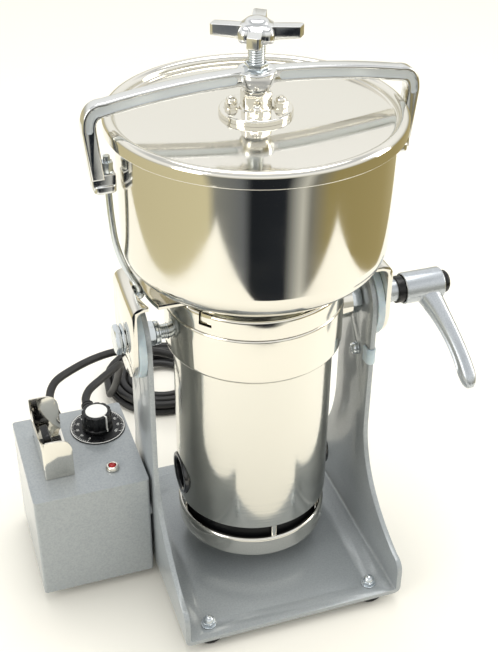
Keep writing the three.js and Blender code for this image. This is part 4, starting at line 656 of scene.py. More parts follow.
plated_steel = finish("plated_steel", "#d2d8dc", 0.2, 1.0)
uneven_gloss(plated_steel, 0.15, 0.24, 240.0)
bumpy(plated_steel, 0.05, 0.05, 900.0, 2.0)

chromed_casting = finish("chromed_casting", "#dfe0e0", 0.1, 1.0)
uneven_gloss(chromed_casting, 0.07, 0.18, 90.0, 4.0)
bumpy(chromed_casting, 0.08, 0.5, 60.0, 3.0)

recess_grey = finish("recess_grey", "#dfe5e8", 0.34, 0.55)
bumpy(recess_grey, 0.2, 0.12, 700.0, 3.0)

silver_lacquer = finish("silver_lacquer", "#b9bfc4", 0.3, 0.75, coat_weight=0.4, coat_roughness=0.15)
uneven_colour(silver_lacquer, "#aeb4ba", "#c6cbd0", 1500.0, 2.0)
bumpy(silver_lacquer, 0.08, 0.1, 500.0, 3.0)

# %% [markdown]
# Plastics and rubber are dark, but never one flat black: a moulded grain breaks up the highlight, and
# rubber is duller and a little grey where it is dusty.

# %% Plastics, rubber and small things
black_moulding = finish("black_moulding", "#0c0d0f", 0.28, 0.0, specular_ior_level=0.4)
uneven_gloss(black_moulding, 0.22, 0.36, 160.0)
bumpy(black_moulding, 0.12, 0.08, 1400.0, 2.0)

pressed_resin = finish("pressed_resin", "#15161a", 0.14, 0.0, specular_ior_level=0.9)
uneven_gloss(pressed_resin, 0.1, 0.2, 120.0)

black_rubber = finish("black_rubber", "#111112", 0.46)
uneven_colour(black_rubber, "#0c0c0d", "#1a1a1b", 45.0, 4.0)
bumpy(black_rubber, 0.2, 0.1, 800.0, 3.0)

# Painted shade: a near-black finish for the ring behind the end cap's posts, standing in for the shade inside the
# motor.
vent_painted_shade = finish("vent_painted_shade", "#101114", 0.5, 0.4)
bumpy(vent_painted_shade, 0.2, 0.1, 500.0)

pale_nylon = finish("pale_nylon", "#bac6cd", 0.38, 0.0, subsurface_weight=0.1)
uneven_colour(pale_nylon, "#afbcc5", "#c4cfd4", 90.0)
bumpy(pale_nylon, 0.1, 0.1, 700.0)

white_print = finish("white_print", "#f2f2ee", 0.5)
bumpy(white_print, 0.05, 0.03, 900.0)

# Painted glow: the unlit lens is given a faint red emission.
red_lens_painted_glow = finish("red_lens_painted_glow", "#9c1216", 0.15, 0.0, transmission_weight=0.2, emission_strength=0.08)
shader_of(red_lens_painted_glow).inputs["Emission Color"].default_value = linear("#ff2a1c")
bumpy(red_lens_painted_glow, 0.1, 0.2, 400.0)

winding_copper = finish("winding_copper", "#a4603a", 0.4, 0.9)
uneven_colour(winding_copper, "#7d4527", "#b9764a", 300.0, 3.0, (1, 1, 0.1))
core_iron = finish("core_iron", "#55585b", 0.5, 0.9)
bumpy(core_iron, 0.3, 0.1, 1.0, 2.0, (5, 5, 1800))
board_green = finish("board_green", "#2c6a45", 0.5)
uneven_colour(board_green, "#25593a", "#357a50", 500.0)
seal_white = finish("seal_white", "#dcd9d0", 0.6)
bumpy(seal_white, 0.15, 0.1, 500.0)
print(len(bpy.data.materials), "finishes")

# %% [markdown]
# A finished piece is moved onto the mill's axis, takes its finish, rides on a body of the packed
# model and stands for the plain piece there.

# %% Helper that hands a piece over
def hand_over(piece, body, slot, material, *nodes):
    settle(piece, at=(axis_x, axis_y, 0))
    if not piece.data.materials:
        paint(piece, material)
    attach(piece, body)
    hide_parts(*nodes)
    print(piece.name, "rides on", body, "with", len(piece.data.polygons), "faces")


# %% [markdown]
# The real cables are round rubber cords, so each is one circle carried along its route. The mains lead
# lies still on the table and rides with the stand. The motor's cable belongs to both halves of the
# mill: it is left in its resting shape and rides on neither body.

# %% Cables
mains_lead = swept("rubber_mains_lead", mains_route, cord_width / 2, 14)
hand_over(mains_lead, "stand", "black_rubber", black_rubber, "mains_lead", "mains_coil", "mains_tail")

motor_lead = swept("rubber_motor_cable", motor_route, cord_width / 2, 16)
paint(settle(motor_lead, at=(axis_x, axis_y, 0)), black_rubber)
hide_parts("motor_cable")
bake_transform(motor_lead)
print("cable points", len(mains_route) + len(motor_route))

# %% [markdown]
# The plug is moulded in one piece, with a thick round body that the hand can pull, a ribbed neck and two
# round pins. It is turned like a lathe piece and laid down at the end of the lead.

# %% Plug
plug_body = turned("plug_body", [
    (0, -34), (15.5, -34, 1), (18, -31.5, 1.5), (18, -12, 3), (10, -1, 3), (7.6, 3, 2), (7.2, 12),
    (5.6, 22, 0.6), (0, 22)], 48)
plug_ribs = [tube("plug_rib", 5, 7.5, z, z + 1.6, 32) for z in (6, 10, 14)]
plug_body = joined(plug_body, *plug_ribs)
pin_outline = [(0, -53), (1.2, -53, 0.4), (2.4, -51, 0.6), (2.4, -33), (0, -33)]
pins = [paint(settle(turned("plug_pin", pin_outline, 24), at=(x, 0, 0)), plated_steel) for x in (-9.5, 9.5)]
plug_body = joined(paint(plug_body, black_moulding), *pins)
settle(plug_body, at=(plug_x, plug_y, plug_r), turn=(-90, 0, 0))
hand_over(plug_body, "stand", "black_plastic", black_moulding, "mains_plug")

# %% [markdown]
# Where a cable leaves the metal, a rubber sleeve keeps it from kinking: a flange, then a taper with
# deep grooves that lets it bend. The same outline serves both glands and the longer boot on the motor.

# %% Glands and boot
def ribbed_gland(name, length, wide, ribs, at):
    narrow, flange, groove = 5.6, 9.4, 0.9
    corners = [(0, -3), (narrow, -3), (narrow, 0.3), (flange, 0.3, 0.6), (flange, 3.2, 0.8), (wide, 4)]
    for i in range(ribs):
        end = (i + 0.62) / ribs
        for share in (i / ribs, end):
            corners.append((wide + (narrow - wide) * share, 4 + (length - 5) * share, 0.3))
        floor = wide + (narrow - wide) * end - groove
        corners += [(floor, 4 + (length - 5) * (i + share) / ribs) for share in (0.66, 0.96)]
    corners += [(narrow, length - 0.8, 0.3), (narrow, length), (0, length)]
    return settle(settle(turned(name, corners, 48), turn=(-90, 0, 0)), at=at)


for name, x in (("mains_gland", mains_x), ("motor_gland", motor_x)):
    gland = ribbed_gland(f"ribbed_{name}", gland_reach, 7.6, 4, (x, gland_y, gland_z))
    hand_over(gland, "stand", "black_rubber", black_rubber, name)
boot = ribbed_gland("ribbed_boot", 31, 8.8, 6, (0, 63.5, boot_z))
hand_over(boot, "grinder", "black_rubber", black_rubber, "motor_boot")

# %% [markdown]
# The stand is one thick plate. Its side outline is drawn once: low wings at the front and back, and a
# long flare up into the narrow upright with its round head. A bent U is drawn from the front. Where
# both shapes agree is the bent plate, and its cut edges are then broken by a small bevel.

# %% Stand
stand_half, sheet, foot_z = 93.0, 4.0, 9.0
wing_front, wing_back, wing_z, wing_r = 95, 115, 42, 12
upright_half, flare_top = 30, 125


def wing(side, reach):
    """The flared edge from a low wing up to the narrow upright."""
    start = side * (reach - wing_r)
    run, rise = side * upright_half - start, flare_top - wing_z
    return bezier((start, wing_z), (start + run * 0.59, wing_z + rise * 0.18),
                  (start + run * 0.97, wing_z + rise * 0.51), (side * upright_half, flare_top))


side_outline = [
    (-wing_back, foot_z), (wing_front, foot_z),
    *corner_curve((wing_front, wing_z - wing_r), (wing_front, wing_z), (wing_front - wing_r, wing_z)),
    *wing(1, wing_front)[1:], *arc(0, pivot_z, upright_half, 0, 180, 40), *reversed(wing(-1, wing_back)[1:]),
    *corner_curve((wing_r - wing_back, wing_z), (-wing_back, wing_z), (-wing_back, wing_z - wing_r))]


def channel(half, thick, inside, top, bottom):
    """A U seen from the front; with top below bottom it is upside down."""
    up = 1 if top > bottom else -1
    outer, inner, floor = inside + thick, half - thick, bottom + up * thick
    bend_z = bottom + up * outer
    left = [(-half, top), *corner_curve((-half, bend_z), (-half, bottom), (-half + outer, bottom))]
    right = [(-x, z) for x, z in reversed(left)]
    inner_right = [(inner, top), *corner_curve((inner, bend_z), (inner, floor), (inner - inside, floor))]
    inner_left = [(-x, z) for x, z in reversed(inner_right)]
    return left + right + inner_right + inner_left


stand = to_front(plate("bent_stand", channel(stand_half, sheet, 2.5, 270, foot_z), -100, 120))
carve(stand, to_side(plate("side_shape", side_outline, -100, 100)), operation="INTERSECT")
stop_y, stop_z = -7, 188
carve(stand, along("pivot_hole", screw_bore, -100, 100, (0, 0, pivot_z)),
      along("stop_hole", 3.3, 0, 100, (0, stop_y, stop_z)))
feet = [(x, y) for x in (-70, 70) for y in (-101, 81)]
for x, y in feet:
    carve(stand, settle(bar("foot_hole", 3.3, 0, 20, 24), at=(x, y, 0)))
soften(stand, 0.5, 2, 50)
hand_over(stand, "stand", "hammertone", hammer_paint, "stand_frame")

# %% [markdown]
# Under each corner sits a rubber foot, screwed up through the plate and held by a bright dome nut on a
# washer. One is modelled and copied.

# %% Feet
rubber_foot = turned("moulded_foot", [
    (0, 0), (9.6, 0, 1.2), (11.9, 6.5, 2), (11.9, 8.7, 0.4), (0, 8.7)], 64)
foot_ridge = turned("foot_ridge", [(10.4, 3), (11.6, 3.2, 0.3), (11.7, 4.4, 0.3), (10.8, 4.6)], 64, ring=True)
rubber_foot = paint(joined(rubber_foot, foot_ridge), black_rubber)
washer = tube("foot_washer", 2.8, 6.2, 13.2, 14, 40, (0.2, 0.3))
dome_nut = nut("foot_nut", 10, 14, 17.2, dome=True)
rubber_foot = joined(rubber_foot, paint(washer, plated_steel), paint(dome_nut, plated_steel))
for i, (x, y) in enumerate(feet):
    foot = settle(copy_of(rubber_foot, f"foot_with_nut_{i + 1}"), at=(x, y, 0), turn=(0, 0, 25 * i))
    hand_over(foot, "stand", "black_rubber", black_rubber, f"rubber_foot_{i + 1}")
bpy.data.objects.remove(rubber_foot, do_unlink=True)
print("feet at", feet)

# %% [markdown]
# A short screw with a nut sits in the right upright, and beside it a small nylon clip covers the
# sheet's front edge. The screw is made standing up, as every nut here, and then turned through the
# plate. The clip is one bent outline with a thickness.

# %% Stop screw and edge clip
screw = joined(
    turned("stop_screw_shank", [(0, -10), (3, -10), (3, 6, 0.6), (0, 6)], 32),
    turned("stop_screw_head", [(0, -9.6), (4.2, -9.6, 1.6), (5, -7.4, 0.6), (5, -5.6), (0, -5.6)], 40),
    tube("stop_screw_washer", 3, 5.6, -5.5, -4.4, 40, (0.2, 0.2)),
    nut("stop_screw_nut", 10, 0.3, 3.8))
screw = settle(settle(screw, turn=(0, 90, 0)), at=(stand_half, stop_y, stop_z))
hand_over(screw, "stand", "plain_steel", plated_steel, "stop_screw")

hollow_r, clip_r, clip_end = 2.3, 3.9, 9.4
clip = plate("slit_clip", [
    *arc(0, 3, clip_r, 0, -180, 20), (-clip_r, clip_end), (-hollow_r, clip_end),
    *arc(0, 3, hollow_r, -180, 0, 12), (hollow_r, clip_end), (clip_r, clip_end)], -7, 7, edge=0.3)
clip = settle(clip, at=(stand_half - 2, -30.6, pivot_z - 40))
hand_over(clip, "stand", "black_plastic", pale_nylon, "edge_clip")

# %% [markdown]
# The control box is a folded steel case. It starts as a flat outline with round corners, drawn up to a
# block. Its top edges get a small bend radius too, the bottom face is removed, and Solidify gives the
# sheet its thickness inwards. The holes for dial, lamp, switch and cables are cut last.

# %% Control box
box_x, box_y, box_z = (-189.0, -95.4), (-24.5, 82.7), (9.4, 109.4)
switch_x, switch_y = -163.0, 31.0
dial_x, dial_y = -120.5, 54.0
lamp_y = -1.8
cut_x, cut_y = 7.8, 15.3  # half the size of the switch's opening
cable_hole = 5.9

case = plate("folded_case", rounded_rectangle(*box_x, *box_y, 2.6, 8), *box_z)
soften(case, 1.4, 4, 60)


def open_below(piece, height):
    """Deletes the lowest flat face, so that the case becomes a shell."""
    choose(piece)
    bpy.ops.object.mode_set(mode="EDIT")
    shape = bmesh.from_edit_mesh(piece.data)
    for face in shape.faces:
        face.select_set(face.calc_center_median().z < height * mm and abs(face.normal.z) > 0.2)
    bpy.ops.mesh.delete(type="FACE")
    bpy.ops.object.mode_set(mode="OBJECT")
    return apply_modifier(piece, "SOLIDIFY", thickness=1.5 * mm, offset=-1, use_even_offset=True)


open_below(case, 11.5)
carve(
    case,
    settle(bar("dial_hole", 4.9, 90, 120, 32), at=(dial_x, dial_y, 0)),
    settle(bar("lamp_hole", 3.7, 90, 120, 32), at=(dial_x, lamp_y, 0)),
    along("mains_hole", cable_hole, -5, 5, (mains_x, box_y[1], gland_z), "Y"),
    along("motor_hole", cable_hole, -5, 5, (motor_x, box_y[1], gland_z), "Y"),
    block("switch_hole", (switch_x - cut_x, switch_x + cut_x), (switch_y - cut_y, switch_y + cut_y), (100, 120)),
)
spacers = [along("box_spacer", 5, -1, 2.1, (box_x[1], y, 69.4)) for y in (-15, 15)]
case = smooth(joined(case, *spacers))
hand_over(case, "stand", "hammertone", hammer_paint, "control_box")

# %% [markdown]
# A C of bright sheet guards the switch, so that a sleeve can't catch it. The block's inside is cut
# away, its free corners are rounded, and the long wall's top edge dips, deepest toward the back.

# %% Switch guard
panel_z, guard_wall = 109.7, 1.4


def make_guard():
    half_w, half_d, tall = 12.0, 31.0, 37.0
    top = panel_z + tall
    guard = plate("guard_sheet", rounded_rectangle(-half_w, 24, -half_d, half_d, 1.7), panel_z, top)
    round_corner = corner_curve((half_w, top - 13), (half_w, top), (half_w - 13, top))
    front = [(-20, panel_z - 2), (half_w, panel_z - 2), *round_corner, (-20, top)]
    carve(guard, to_front(plate("guard_front", front, -40, 40)), operation="INTERSECT")
    side = half_d - guard_wall
    hollow = block("guard_hollow", (-half_w + guard_wall, 30), (-side, side), (panel_z + guard_wall, panel_z + 60))
    drops = [  # along the long wall, how far its edge lies below the top
        (-32, 0), (-28, 1.2), (-24, 3.2), (-18, 6.6), (-9, 10.6), (0, 13.6), (10, 15.8), (19, 16.8),
        (24, 16), (26.6, 13), (27.8, 8), (28.8, 3), (29.8, 0)]
    dip = [(-32, top + 3), *[(y, top - drop) for y, drop in drops], (29.8, top + 3)]
    opening = block("guard_opening", (-cut_x, cut_x), (-cut_y, cut_y), (panel_z - 2, panel_z + 3))
    carve(guard, hollow, to_side(plate("guard_dip", dip, -20, -9)), opening)
    soften(guard, 0.35, 2, 40)
    return settle(guard, at=(switch_x, switch_y, 0))


hand_over(make_guard(), "stand", "polished_steel", buffed_steel, "switch_guard")

# %% [markdown]
# The switch is a bought part: a case that drops into the panel, a rim on top and a flat toggle in a
# well. Case and rim are bevelled boxes, joined and cut by Booleans. The toggle turns about a pin that
# lies along Y, so it is tipped about that pin to the place where it rests.

# %% Switch body and paddle
switch_rim = 3.0
switch_top = panel_z + guard_wall + 0.3 + switch_rim
paddle_z = switch_top - switch_rim


def make_switch():
    body = block("switch_case", (-7.4, 7.4), (-14.9, 14.9), (83.4, switch_top - 0.4), 0.3)
    rim = block("switch_rim", (-9.5, 9.5), (-17, 17), (switch_top - switch_rim, switch_top), 0.8, 3)
    carve(body, rim, operation="UNION")
    carve(body, block("switch_well", (-6.4, 6.4), (-10.4, 10.4), (paddle_z - 8, switch_top + 4)))
    return settle(smooth(body), at=(switch_x, switch_y, 0))


def make_paddle():
    outline = [(-10, -2), (10, -2), (10, 20), *corner_curve((10, 20), (10, 25), (5, 25)),
               *corner_curve((-5, 25), (-10, 25), (-10, 20))]
    paddle = to_side(plate("toggle_paddle", outline, -3, 3, edge=0.9, rounds=3))
    barrel, pin = along("paddle_barrel", 4, -10, 10, axis="Y"), along("paddle_pin", 2, -14, 14, axis="Y")
    carve(paddle, barrel, pin, operation="UNION")
    settle(smooth(paddle), turn=(0, -12, 0))
    return settle(paddle, at=(switch_x, switch_y, paddle_z))


hand_over(make_switch(), "stand", "black_plastic", black_moulding, "switch_body")
hand_over(make_paddle(), "paddle", "black_plastic", black_moulding, "switch_paddle")

# %% [markdown]
# The speed dial is a black disc with a raised white rim, ticks and plain numbers. The marks are real
# geometry, a few hundredths of a millimetre high, so that they stay sharp from close by. One tick is
# made for each step and turned to its angle.

# %% Dial plate with its ticks and numbers
dial_top = panel_z + 0.9
first_mark, scale_span = 235, 270  # degrees
tick_count, number_count = 51, 11


def dial_number(text, angle):
    clear()
    bpy.ops.object.text_add()
    digit = bpy.context.object.data
    digit.body = text
    digit.size = 3.1 * mm
    digit.extrude = 0.03 * mm
    digit.align_x, digit.align_y = "CENTER", "CENTER"
    bpy.ops.object.convert(target="MESH")
    piece = settle(bpy.context.object, turn=(0, 0, angle - 90))
    return settle(piece, at=round_axis(17.1, angle, dial_top + 0.03))


def mark_angle(share):
    return first_mark - scale_span * share


def make_dial():
    disc = paint(tube("dial_disc", 4.9, 23.4, panel_z, dial_top, 96, (0.2, 0.3)), black_moulding)
    low, high = dial_top - 0.1, dial_top + 0.06
    marks = [tube("dial_rim", 22.3, 22.9, low, high, 96, (0, 0))]
    for i in range(tick_count):
        inner = 19.4 if i % 5 == 0 else 20.6
        tick = block("dial_tick", (inner, 22.4), (-0.16, 0.16), (low, high))
        marks.append(settle(tick, turn=(0, 0, mark_angle(i / (tick_count - 1)))))
    for i in range(number_count):
        marks.append(dial_number(str(10 * i), mark_angle(i / (number_count - 1))))
    return settle(joined(disc, paint(joined(*marks), white_print)), at=(dial_x, dial_y, 0))


hand_over(make_dial(), "stand", "black_plastic", black_moulding, "dial_plate")

# %% [markdown]
# The knob has a fluted grip over a wide skirt, a white pressed cap and a thin white pointer. The grip's
# outline is a circle that dips twelve times, and the skirt below it is turned.

# %% Dial knob
def make_knob():
    low, flutes, steps = dial_top + 0.4, 12, 144
    skirt = turned("knob_skirt", [
        (0, low), (13, low, 0.3), (13, low + 2.2, 0.6), (12, low + 3.4, 0.5), (0, low + 3.4)], 96)
    outline = []
    for i in range(steps):
        angle = 2 * math.pi * i / steps
        r = 12.5 - 0.8 * max(0, math.cos(flutes * angle))
        outline.append((r * math.cos(angle), r * math.sin(angle)))
    grip = plate("knob_grip", outline, low + 2.6, low + 16, edge=0.5, rounds=3)
    body = paint(joined(skirt, grip), black_moulding)
    cap = turned("knob_cap", [
        (0, low + 15), (9.3, low + 15), (9.3, low + 16.3, 0.4), (8.8, low + 16.5, 0.2),
        (8.4, low + 16.2), (0, low + 16.2)], 72)
    pointer = joined(
        block("knob_pointer", (8.8, 12.7), (-0.55, 0.55), (low + 3, low + 16.2), 0.15),
        block("skirt_mark", (11.4, 13.06), (-0.55, 0.55), (low + 0.8, low + 3.44)))
    settle(paint(pointer, white_print), turn=(0, 0, -60))
    return settle(joined(body, paint(cap, white_print), pointer), at=(dial_x, dial_y, 0))


hand_over(make_knob(), "dial", "black_plastic", black_moulding, "dial_knob")

# %% [markdown]
# The lamp is a red lens with a faint painted glow in a bright turned bezel. Both are turned, and the
# lens's edge lies a little lower than the bezel's, so that the bezel frames its shallow dome.

# %% Lamp
bezel = turned("turned_bezel", [
    (3.1, 99), (3.4, 99), (3.4, panel_z), (5.6, panel_z, 0.2), (5.6, panel_z + 1.3, 0.4),
    (4.6, panel_z + 3.4, 0.5), (3.4, panel_z + 3.6, 0.3), (3.1, panel_z + 2.6)], 48, ring=True)
dome = [(2.8 * math.cos(a / 10), panel_z + 2.4 + 1.8 * math.sin(a / 10)) for a in range(0, 15, 2)]
lens = turned("domed_lens", [(0, 99), (2.8, 99), *dome, (0, panel_z + 4.2)], 40)
hand_over(settle(bezel, at=(dial_x, lamp_y, 0)), "stand", "polished_steel", buffed_steel, "lamp_bezel")
hand_over(settle(lens, at=(dial_x, lamp_y, 0)), "stand", "red_lens", red_lens_painted_glow, "lamp_lens")

# %% [markdown]
# The motor's shell is a steel tube with a round brush port on each side, and a hole at the back for the
# cable. It is turned with its wall thickness, and the ports are drilled by Booleans.

# %% Motor tube
shell = tube("motor_shell", 61.5, 63.5, 65.7, 252.3, 160, (0.5, 0))
carve(shell, along("brush_ports", 18.3, -66, 66, (0, 0, boot_z), steps=64),
      along("boot_hole", cable_hole, 40, 66, (0, 0, boot_z), "Y"))
hand_over(smooth(shell), "grinder", "brushed_steel", turned_steel, "motor_tube")

# %% [markdown]
# Below the shell an end cap stands on four posts, and the gap between them lets the cooling air
# out. The cap is turned, ten slots are cut in its floor, and a near-black ring stands behind the posts as painted
# shade, so that the gap reads dark.

# %% End cap with its posts
def make_end_cap():
    cup = turned("cap_cup", [
        (12, 32.5), (61, 32.5, 2), (63, 34.5, 1.5), (63, 50.4, 1), (61.6, 52, 1), (60, 52), (60, 35.5),
        (18, 35.5), (18, 45.8), (14.7, 45.8), (14.7, 35.5), (12, 35.5)], 144, ring=True)
    slot_outline = [*arc(50, 0, 3, -90, 90, 8), *arc(24, 0, 3, 90, 270, 8)]
    carve(cup, *[settle(plate("cap_slot", slot_outline, 30, 38), turn=(0, 0, 36 * i)) for i in range(10)])
    paint(smooth(cup), buffed_steel)
    posts = []
    for i in range(4):
        post = paint(bar("cap_post", 2.6, 34, 65.4, 20), buffed_steel)
        posts.append(settle(post, at=round_axis(58.5, 90 * i)))
    # This ring is painted shade: it fills the air gap with near black where the motor's inside lies in shade.
    painted_shade_ring = turned("cap_painted_shade", [
        (54.6, 35.7), (56.6, 35.7), (56.6, 62.4), (60, 62.4), (60, 65.4), (52, 65.4), (52, 62.4),
        (54.6, 62.4)], 96, ring=True)
    return joined(cup, paint(painted_shade_ring, vent_painted_shade), *posts)


hand_over(make_end_cap(), "grinder", "cast_aluminium", buffed_steel, "motor_end_cap")

# %% [markdown]
# A carbon brush presses on the rotor from each side. Its holder is a pressed resin cup in the shell's
# port, closed by a slotted screw. It is turned upright, laid on its side, and turned half round for the
# left one.

# %% Brush holders
def make_brush_holder(name, turn):
    cup = turned(f"{name}_cup", [
        (0, 49.8), (18, 49.8), (18, 62.6, 0.4), (17.6, 64.2, 0.6), (14.6, 64.2, 0.5), (13, 62.8, 0.5),
        (13, 55.8, 0.6), (0, 55.8)], 72)
    screw = turned(f"{name}_screw", [(0, 55.6), (7, 55.6), (7, 60.6, 0.8), (0, 60.6)], 48)
    carve(screw, block(f"{name}_slot", (-8, 8), (-0.7, 0.7), (58.8, 62)))
    carbon = turned(f"{name}_carbon", [(0, 15.4), (3.5, 15.4, 0.3), (3.5, 50.2), (0, 50.2)], 24)
    holder = paint(joined(cup, smooth(screw), carbon), pressed_resin)
    holder = settle(settle(holder, turn=(0, 90, 0)), at=(0, 0, boot_z))
    return settle(holder, turn=(0, 0, turn))


for side, turn in (("right", 0), ("left", 180)):
    holder = make_brush_holder(f"brush_cup_{side}", turn)
    hand_over(holder, "grinder", "black_plastic", pressed_resin, f"brush_holder_{side}")

# %% [markdown]
# Round the top of the shell sits a heavy polished collar in two parts with a fine seam. The collar has a
# boss on the right, and its top plate a small cut at the front left with a key in it. Both are turned,
# and the boss is a short bar whose end is first hollowed to fit.

# %% Collar
collar = turned("polished_collar", [
    (63.8, 215), (66.2, 215, 0.6), (70, 219, 1.2), (70, 254.8, 0.5), (69.2, 255.85, 0.3), (63.8, 255.85)],
    160, ring=True)
boss = along("collar_boss", 15, 66, 79, (0, 0, pivot_z), steps=56)
carve(boss, bar("boss_fit", 63.8, 200, 260, 160))
carve(collar, boss, operation="UNION")
carve(collar, along("collar_holes", screw_bore, -90, 90, (0, 0, pivot_z)))
hand_over(smooth(collar), "grinder", "polished_steel", buffed_steel, "motor_collar")

cut_angle = math.degrees(-2.43)
top_plate = turned("collar_top", [
    (63.8, 256.15), (69.2, 256.15, 0.3), (70, 257.2, 0.5), (70, 271.6, 1.2), (68.6, 273, 0.8), (22, 273),
    (22, 264), (63.8, 264)], 160, ring=True)
carve(top_plate, settle(block("collar_cut", (65, 75), (-5.5, 5.5), (263, 276)), turn=(0, 0, cut_angle)))
key = settle(block("cut_key", (62, 68.4), (-4.9, 4.9), (264, 272.2), 0.5), turn=(0, 0, cut_angle))
hand_over(smooth(joined(top_plate, key)), "grinder", "polished_steel", buffed_steel, "collar_plate")

# %% [markdown]
# The bracket that carries the grinder is one thick strap bent down at both ends, with a round ear at
# each pivot. Like the stand it is what two outlines share: the upside-down U from the front, and the
# ear from the side. A slot at each side takes a tie rod's head.

# %% Bracket
ear_outline = [(30, 285), (-30, 285), *arc(0, pivot_z, 30, 180, 360, 40)]
bracket = to_front(plate("bent_bracket", channel(103.4, 4, 6.5, 200, 277.3), -32, 32))
carve(bracket, to_side(plate("ear_shape", ear_outline, -110, 110)), operation="INTERSECT")
slot_r, slot_half, slot_turn = 91.7, 3.5, 21.5
slot_shape = [
    *arc(slot_r, 0, slot_half, 180, 360, 12), *arc(0, 0, slot_r + slot_half, 0, slot_turn, 12),
    *arc(0, 0, slot_r - slot_half, slot_turn, 0, 12)[:-1]]
carve(
    bracket, along("ear_holes", screw_bore, -110, 110, (0, 0, pivot_z)), bar("neck_hole", 22, 270, 280, 64),
    plate("right_slot", slot_shape, 270, 280),
    settle(plate("left_slot", slot_shape, 270, 280), turn=(0, 0, 180)))
soften(bracket, 0.5, 2, 50)
hand_over(bracket, "grinder", "plain_steel", buffed_steel, "bracket_strap")

# %% [markdown]
# At each pivot a nylon disc sits between ear and upright. On the left a bolt with nuts holds it. On
# the right a stud takes a clamp nut with a black skirt and the silver lever. All of them are made
# standing on the Z axis, and then laid over to their side.

# %% Pivots
for name, side in (("right", 1), ("left", -1)):
    disc = at_pivot(tube(f"nylon_disc_{name}", screw_bore, 31.8, 93.3, 99.1, 96, (0.4, 0.4)), side)
    hand_over(disc, "grinder", "nylon", pale_nylon, f"friction_disc_{name}")

left_bolt = joined(
    thread("bolt_thread", 64.5, 106.6),
    nut("bolt_outer_nut", 20.6, 103.6, 106.4), nut("bolt_head", 20.6, 106.7, 111.6),
    nut("bolt_inner_nut", 17, 80.3, 88.5), tube("bolt_washer", 6, 9, 76.4, 77.6, 48),
    tube("spring_washer", 6, 9.4, 78, 80.2, 48))
hand_over(at_pivot(left_bolt, -1), "grinder", "plain_steel", plated_steel, "pivot_bolt_left")

stud = joined(thread("stud_thread", 64.5, 120.6), nut("stud_nut", 22, 79.4, 88.5))
hand_over(at_pivot(stud), "grinder", "plain_steel", plated_steel, "pivot_stud_right")

sleeve = paint(tube("clamp_sleeve", screw_bore, 9.5, 103.7, 121.2, 56, (0.5, 0)), silver_lacquer)
skirt = paint(turned("clamp_skirt", [
    (0, 121), (11.2, 121, 0.8), (11.2, 132, 0.4), (6, 132), (6, 148), (0, 148)], 72), black_moulding)
clamp = at_pivot(joined(sleeve, skirt))
hand_over(clamp, "clamp", "black_plastic", black_moulding, "clamp_nut")

# %% [markdown]
# The lever is die-cast: a round hub, and an arm that leaves it, thins and leans outward to a rounded
# tip. No primitive has that shape, so the arm is a row of squared ellipses, skinned from one to the next
# and rounded by one level of subdivision.

# %% Arm of the clamping lever
hub_start, hub_end, hub_r = 132.4, 162, 13
arm_x, arm_reach = 149.9, 82


def lean(share):
    """How far the arm's middle lies outward, at a share of its length."""
    return 18.6 * math.sin(min(share, 1) * math.pi / 2) - 3.4


def make_arm():
    sizes = [  # share of the length, half width, half thickness
        (0.0, 9.5, 10.5), (0.1, 9.4, 9.8), (0.2, 8.8, 8.6), (0.3, 8.0, 7.6), (0.42, 7.4, 6.9),
        (0.55, 7.0, 6.5), (0.7, 6.8, 6.3), (0.84, 6.9, 6.4), (0.94, 7.1, 6.6), (1.0, 7.0, 6.3),
        (1.05, 6.1, 5.4), (1.09, 4.3, 3.8), (1.11, 2, 1.8)]
    squareness, sides, tiny = 2.6, 32, 0.001
    builder = bmesh.new()
    rings = []
    for share, wide, thick in sizes:
        slope = (lean(share + tiny) - lean(share)) / (arm_reach * tiny)
        down_arm = Vector((slope, 0, 1)).normalized()
        outward = Vector((down_arm.z, 0, -down_arm.x))
        centre = Vector((arm_x + lean(share), 0, arm_reach * share))
        ring = []
        for k in range(sides):
            a = 2 * math.pi * k / sides
            c, s = math.cos(a), math.sin(a)
            r = 1 / (abs(c) ** squareness + abs(s) ** squareness) ** (1 / squareness)
            point = centre + Vector((0, 1, 0)) * wide * c * r + outward * thick * s * r
            ring.append(builder.verts.new(point * mm))
        rings.append(ring)
    skin(builder, rings)
    bmesh.ops.recalc_face_normals(builder, faces=builder.faces)
    return apply_modifier(built("lever_arm", builder), "SUBSURF", levels=1, render_levels=1)


arm = make_arm()
print("arm faces", len(arm.data.polygons))

# %% [markdown]
# A long finger groove is ploughed along the arm's inner side by a swept bar. Then the arm is cut to
# the hub's round, joined to it, and turned to the angle at which the lever is parked.

# %% Clamping lever and its button
def make_lever():
    depths = [(0.24, 10.6), (0.32, 9.4), (0.4, 8.6), (0.48, 8.2), (0.56, 7.9), (0.64, 7.7), (0.73, 7.6),
              (0.82, 7.7), (0.9, 8.2), (0.96, 10.4)]
    line = [Vector((arm_x + lean(share) - depth, 0, arm_reach * share)) for share, depth in depths]
    carve(arm, swept("lever_groove", smooth_route(line, 2.0), 4.2, 24))
    carve(arm, along("hub_bore", hub_r - 0.1, hub_start - 30, hub_start + 17))
    carve(arm, block("arm_limit", (hub_start - 60, hub_start), (-40, 40), (-40, 120)))
    hub = turned("lever_hub", [
        (screw_bore, hub_start + 0.2), (11.6, hub_start + 0.2, 0.3), (11.6, hub_start - 4.6, 0.3),
        (12.2, hub_start - 5, 0.3), (hub_r, hub_start - 4.4, 0.5), (hub_r, hub_end - 1, 0.8),
        (12, hub_end, 0.6), (screw_bore, hub_end - 0.2)], 72, ring=True)
    end = bar("lever_closed_end", 6.6, hub_end - 1.4, hub_end - 0.6)
    lever = joined(settle(hub, turn=(0, 90, 0)), arm, settle(end, turn=(0, 90, 0)))
    smooth(lever, 40)
    settle(lever, turn=(90 + math.degrees(0.79), 0, 0))
    return settle(lever, at=(0, 0, pivot_z))


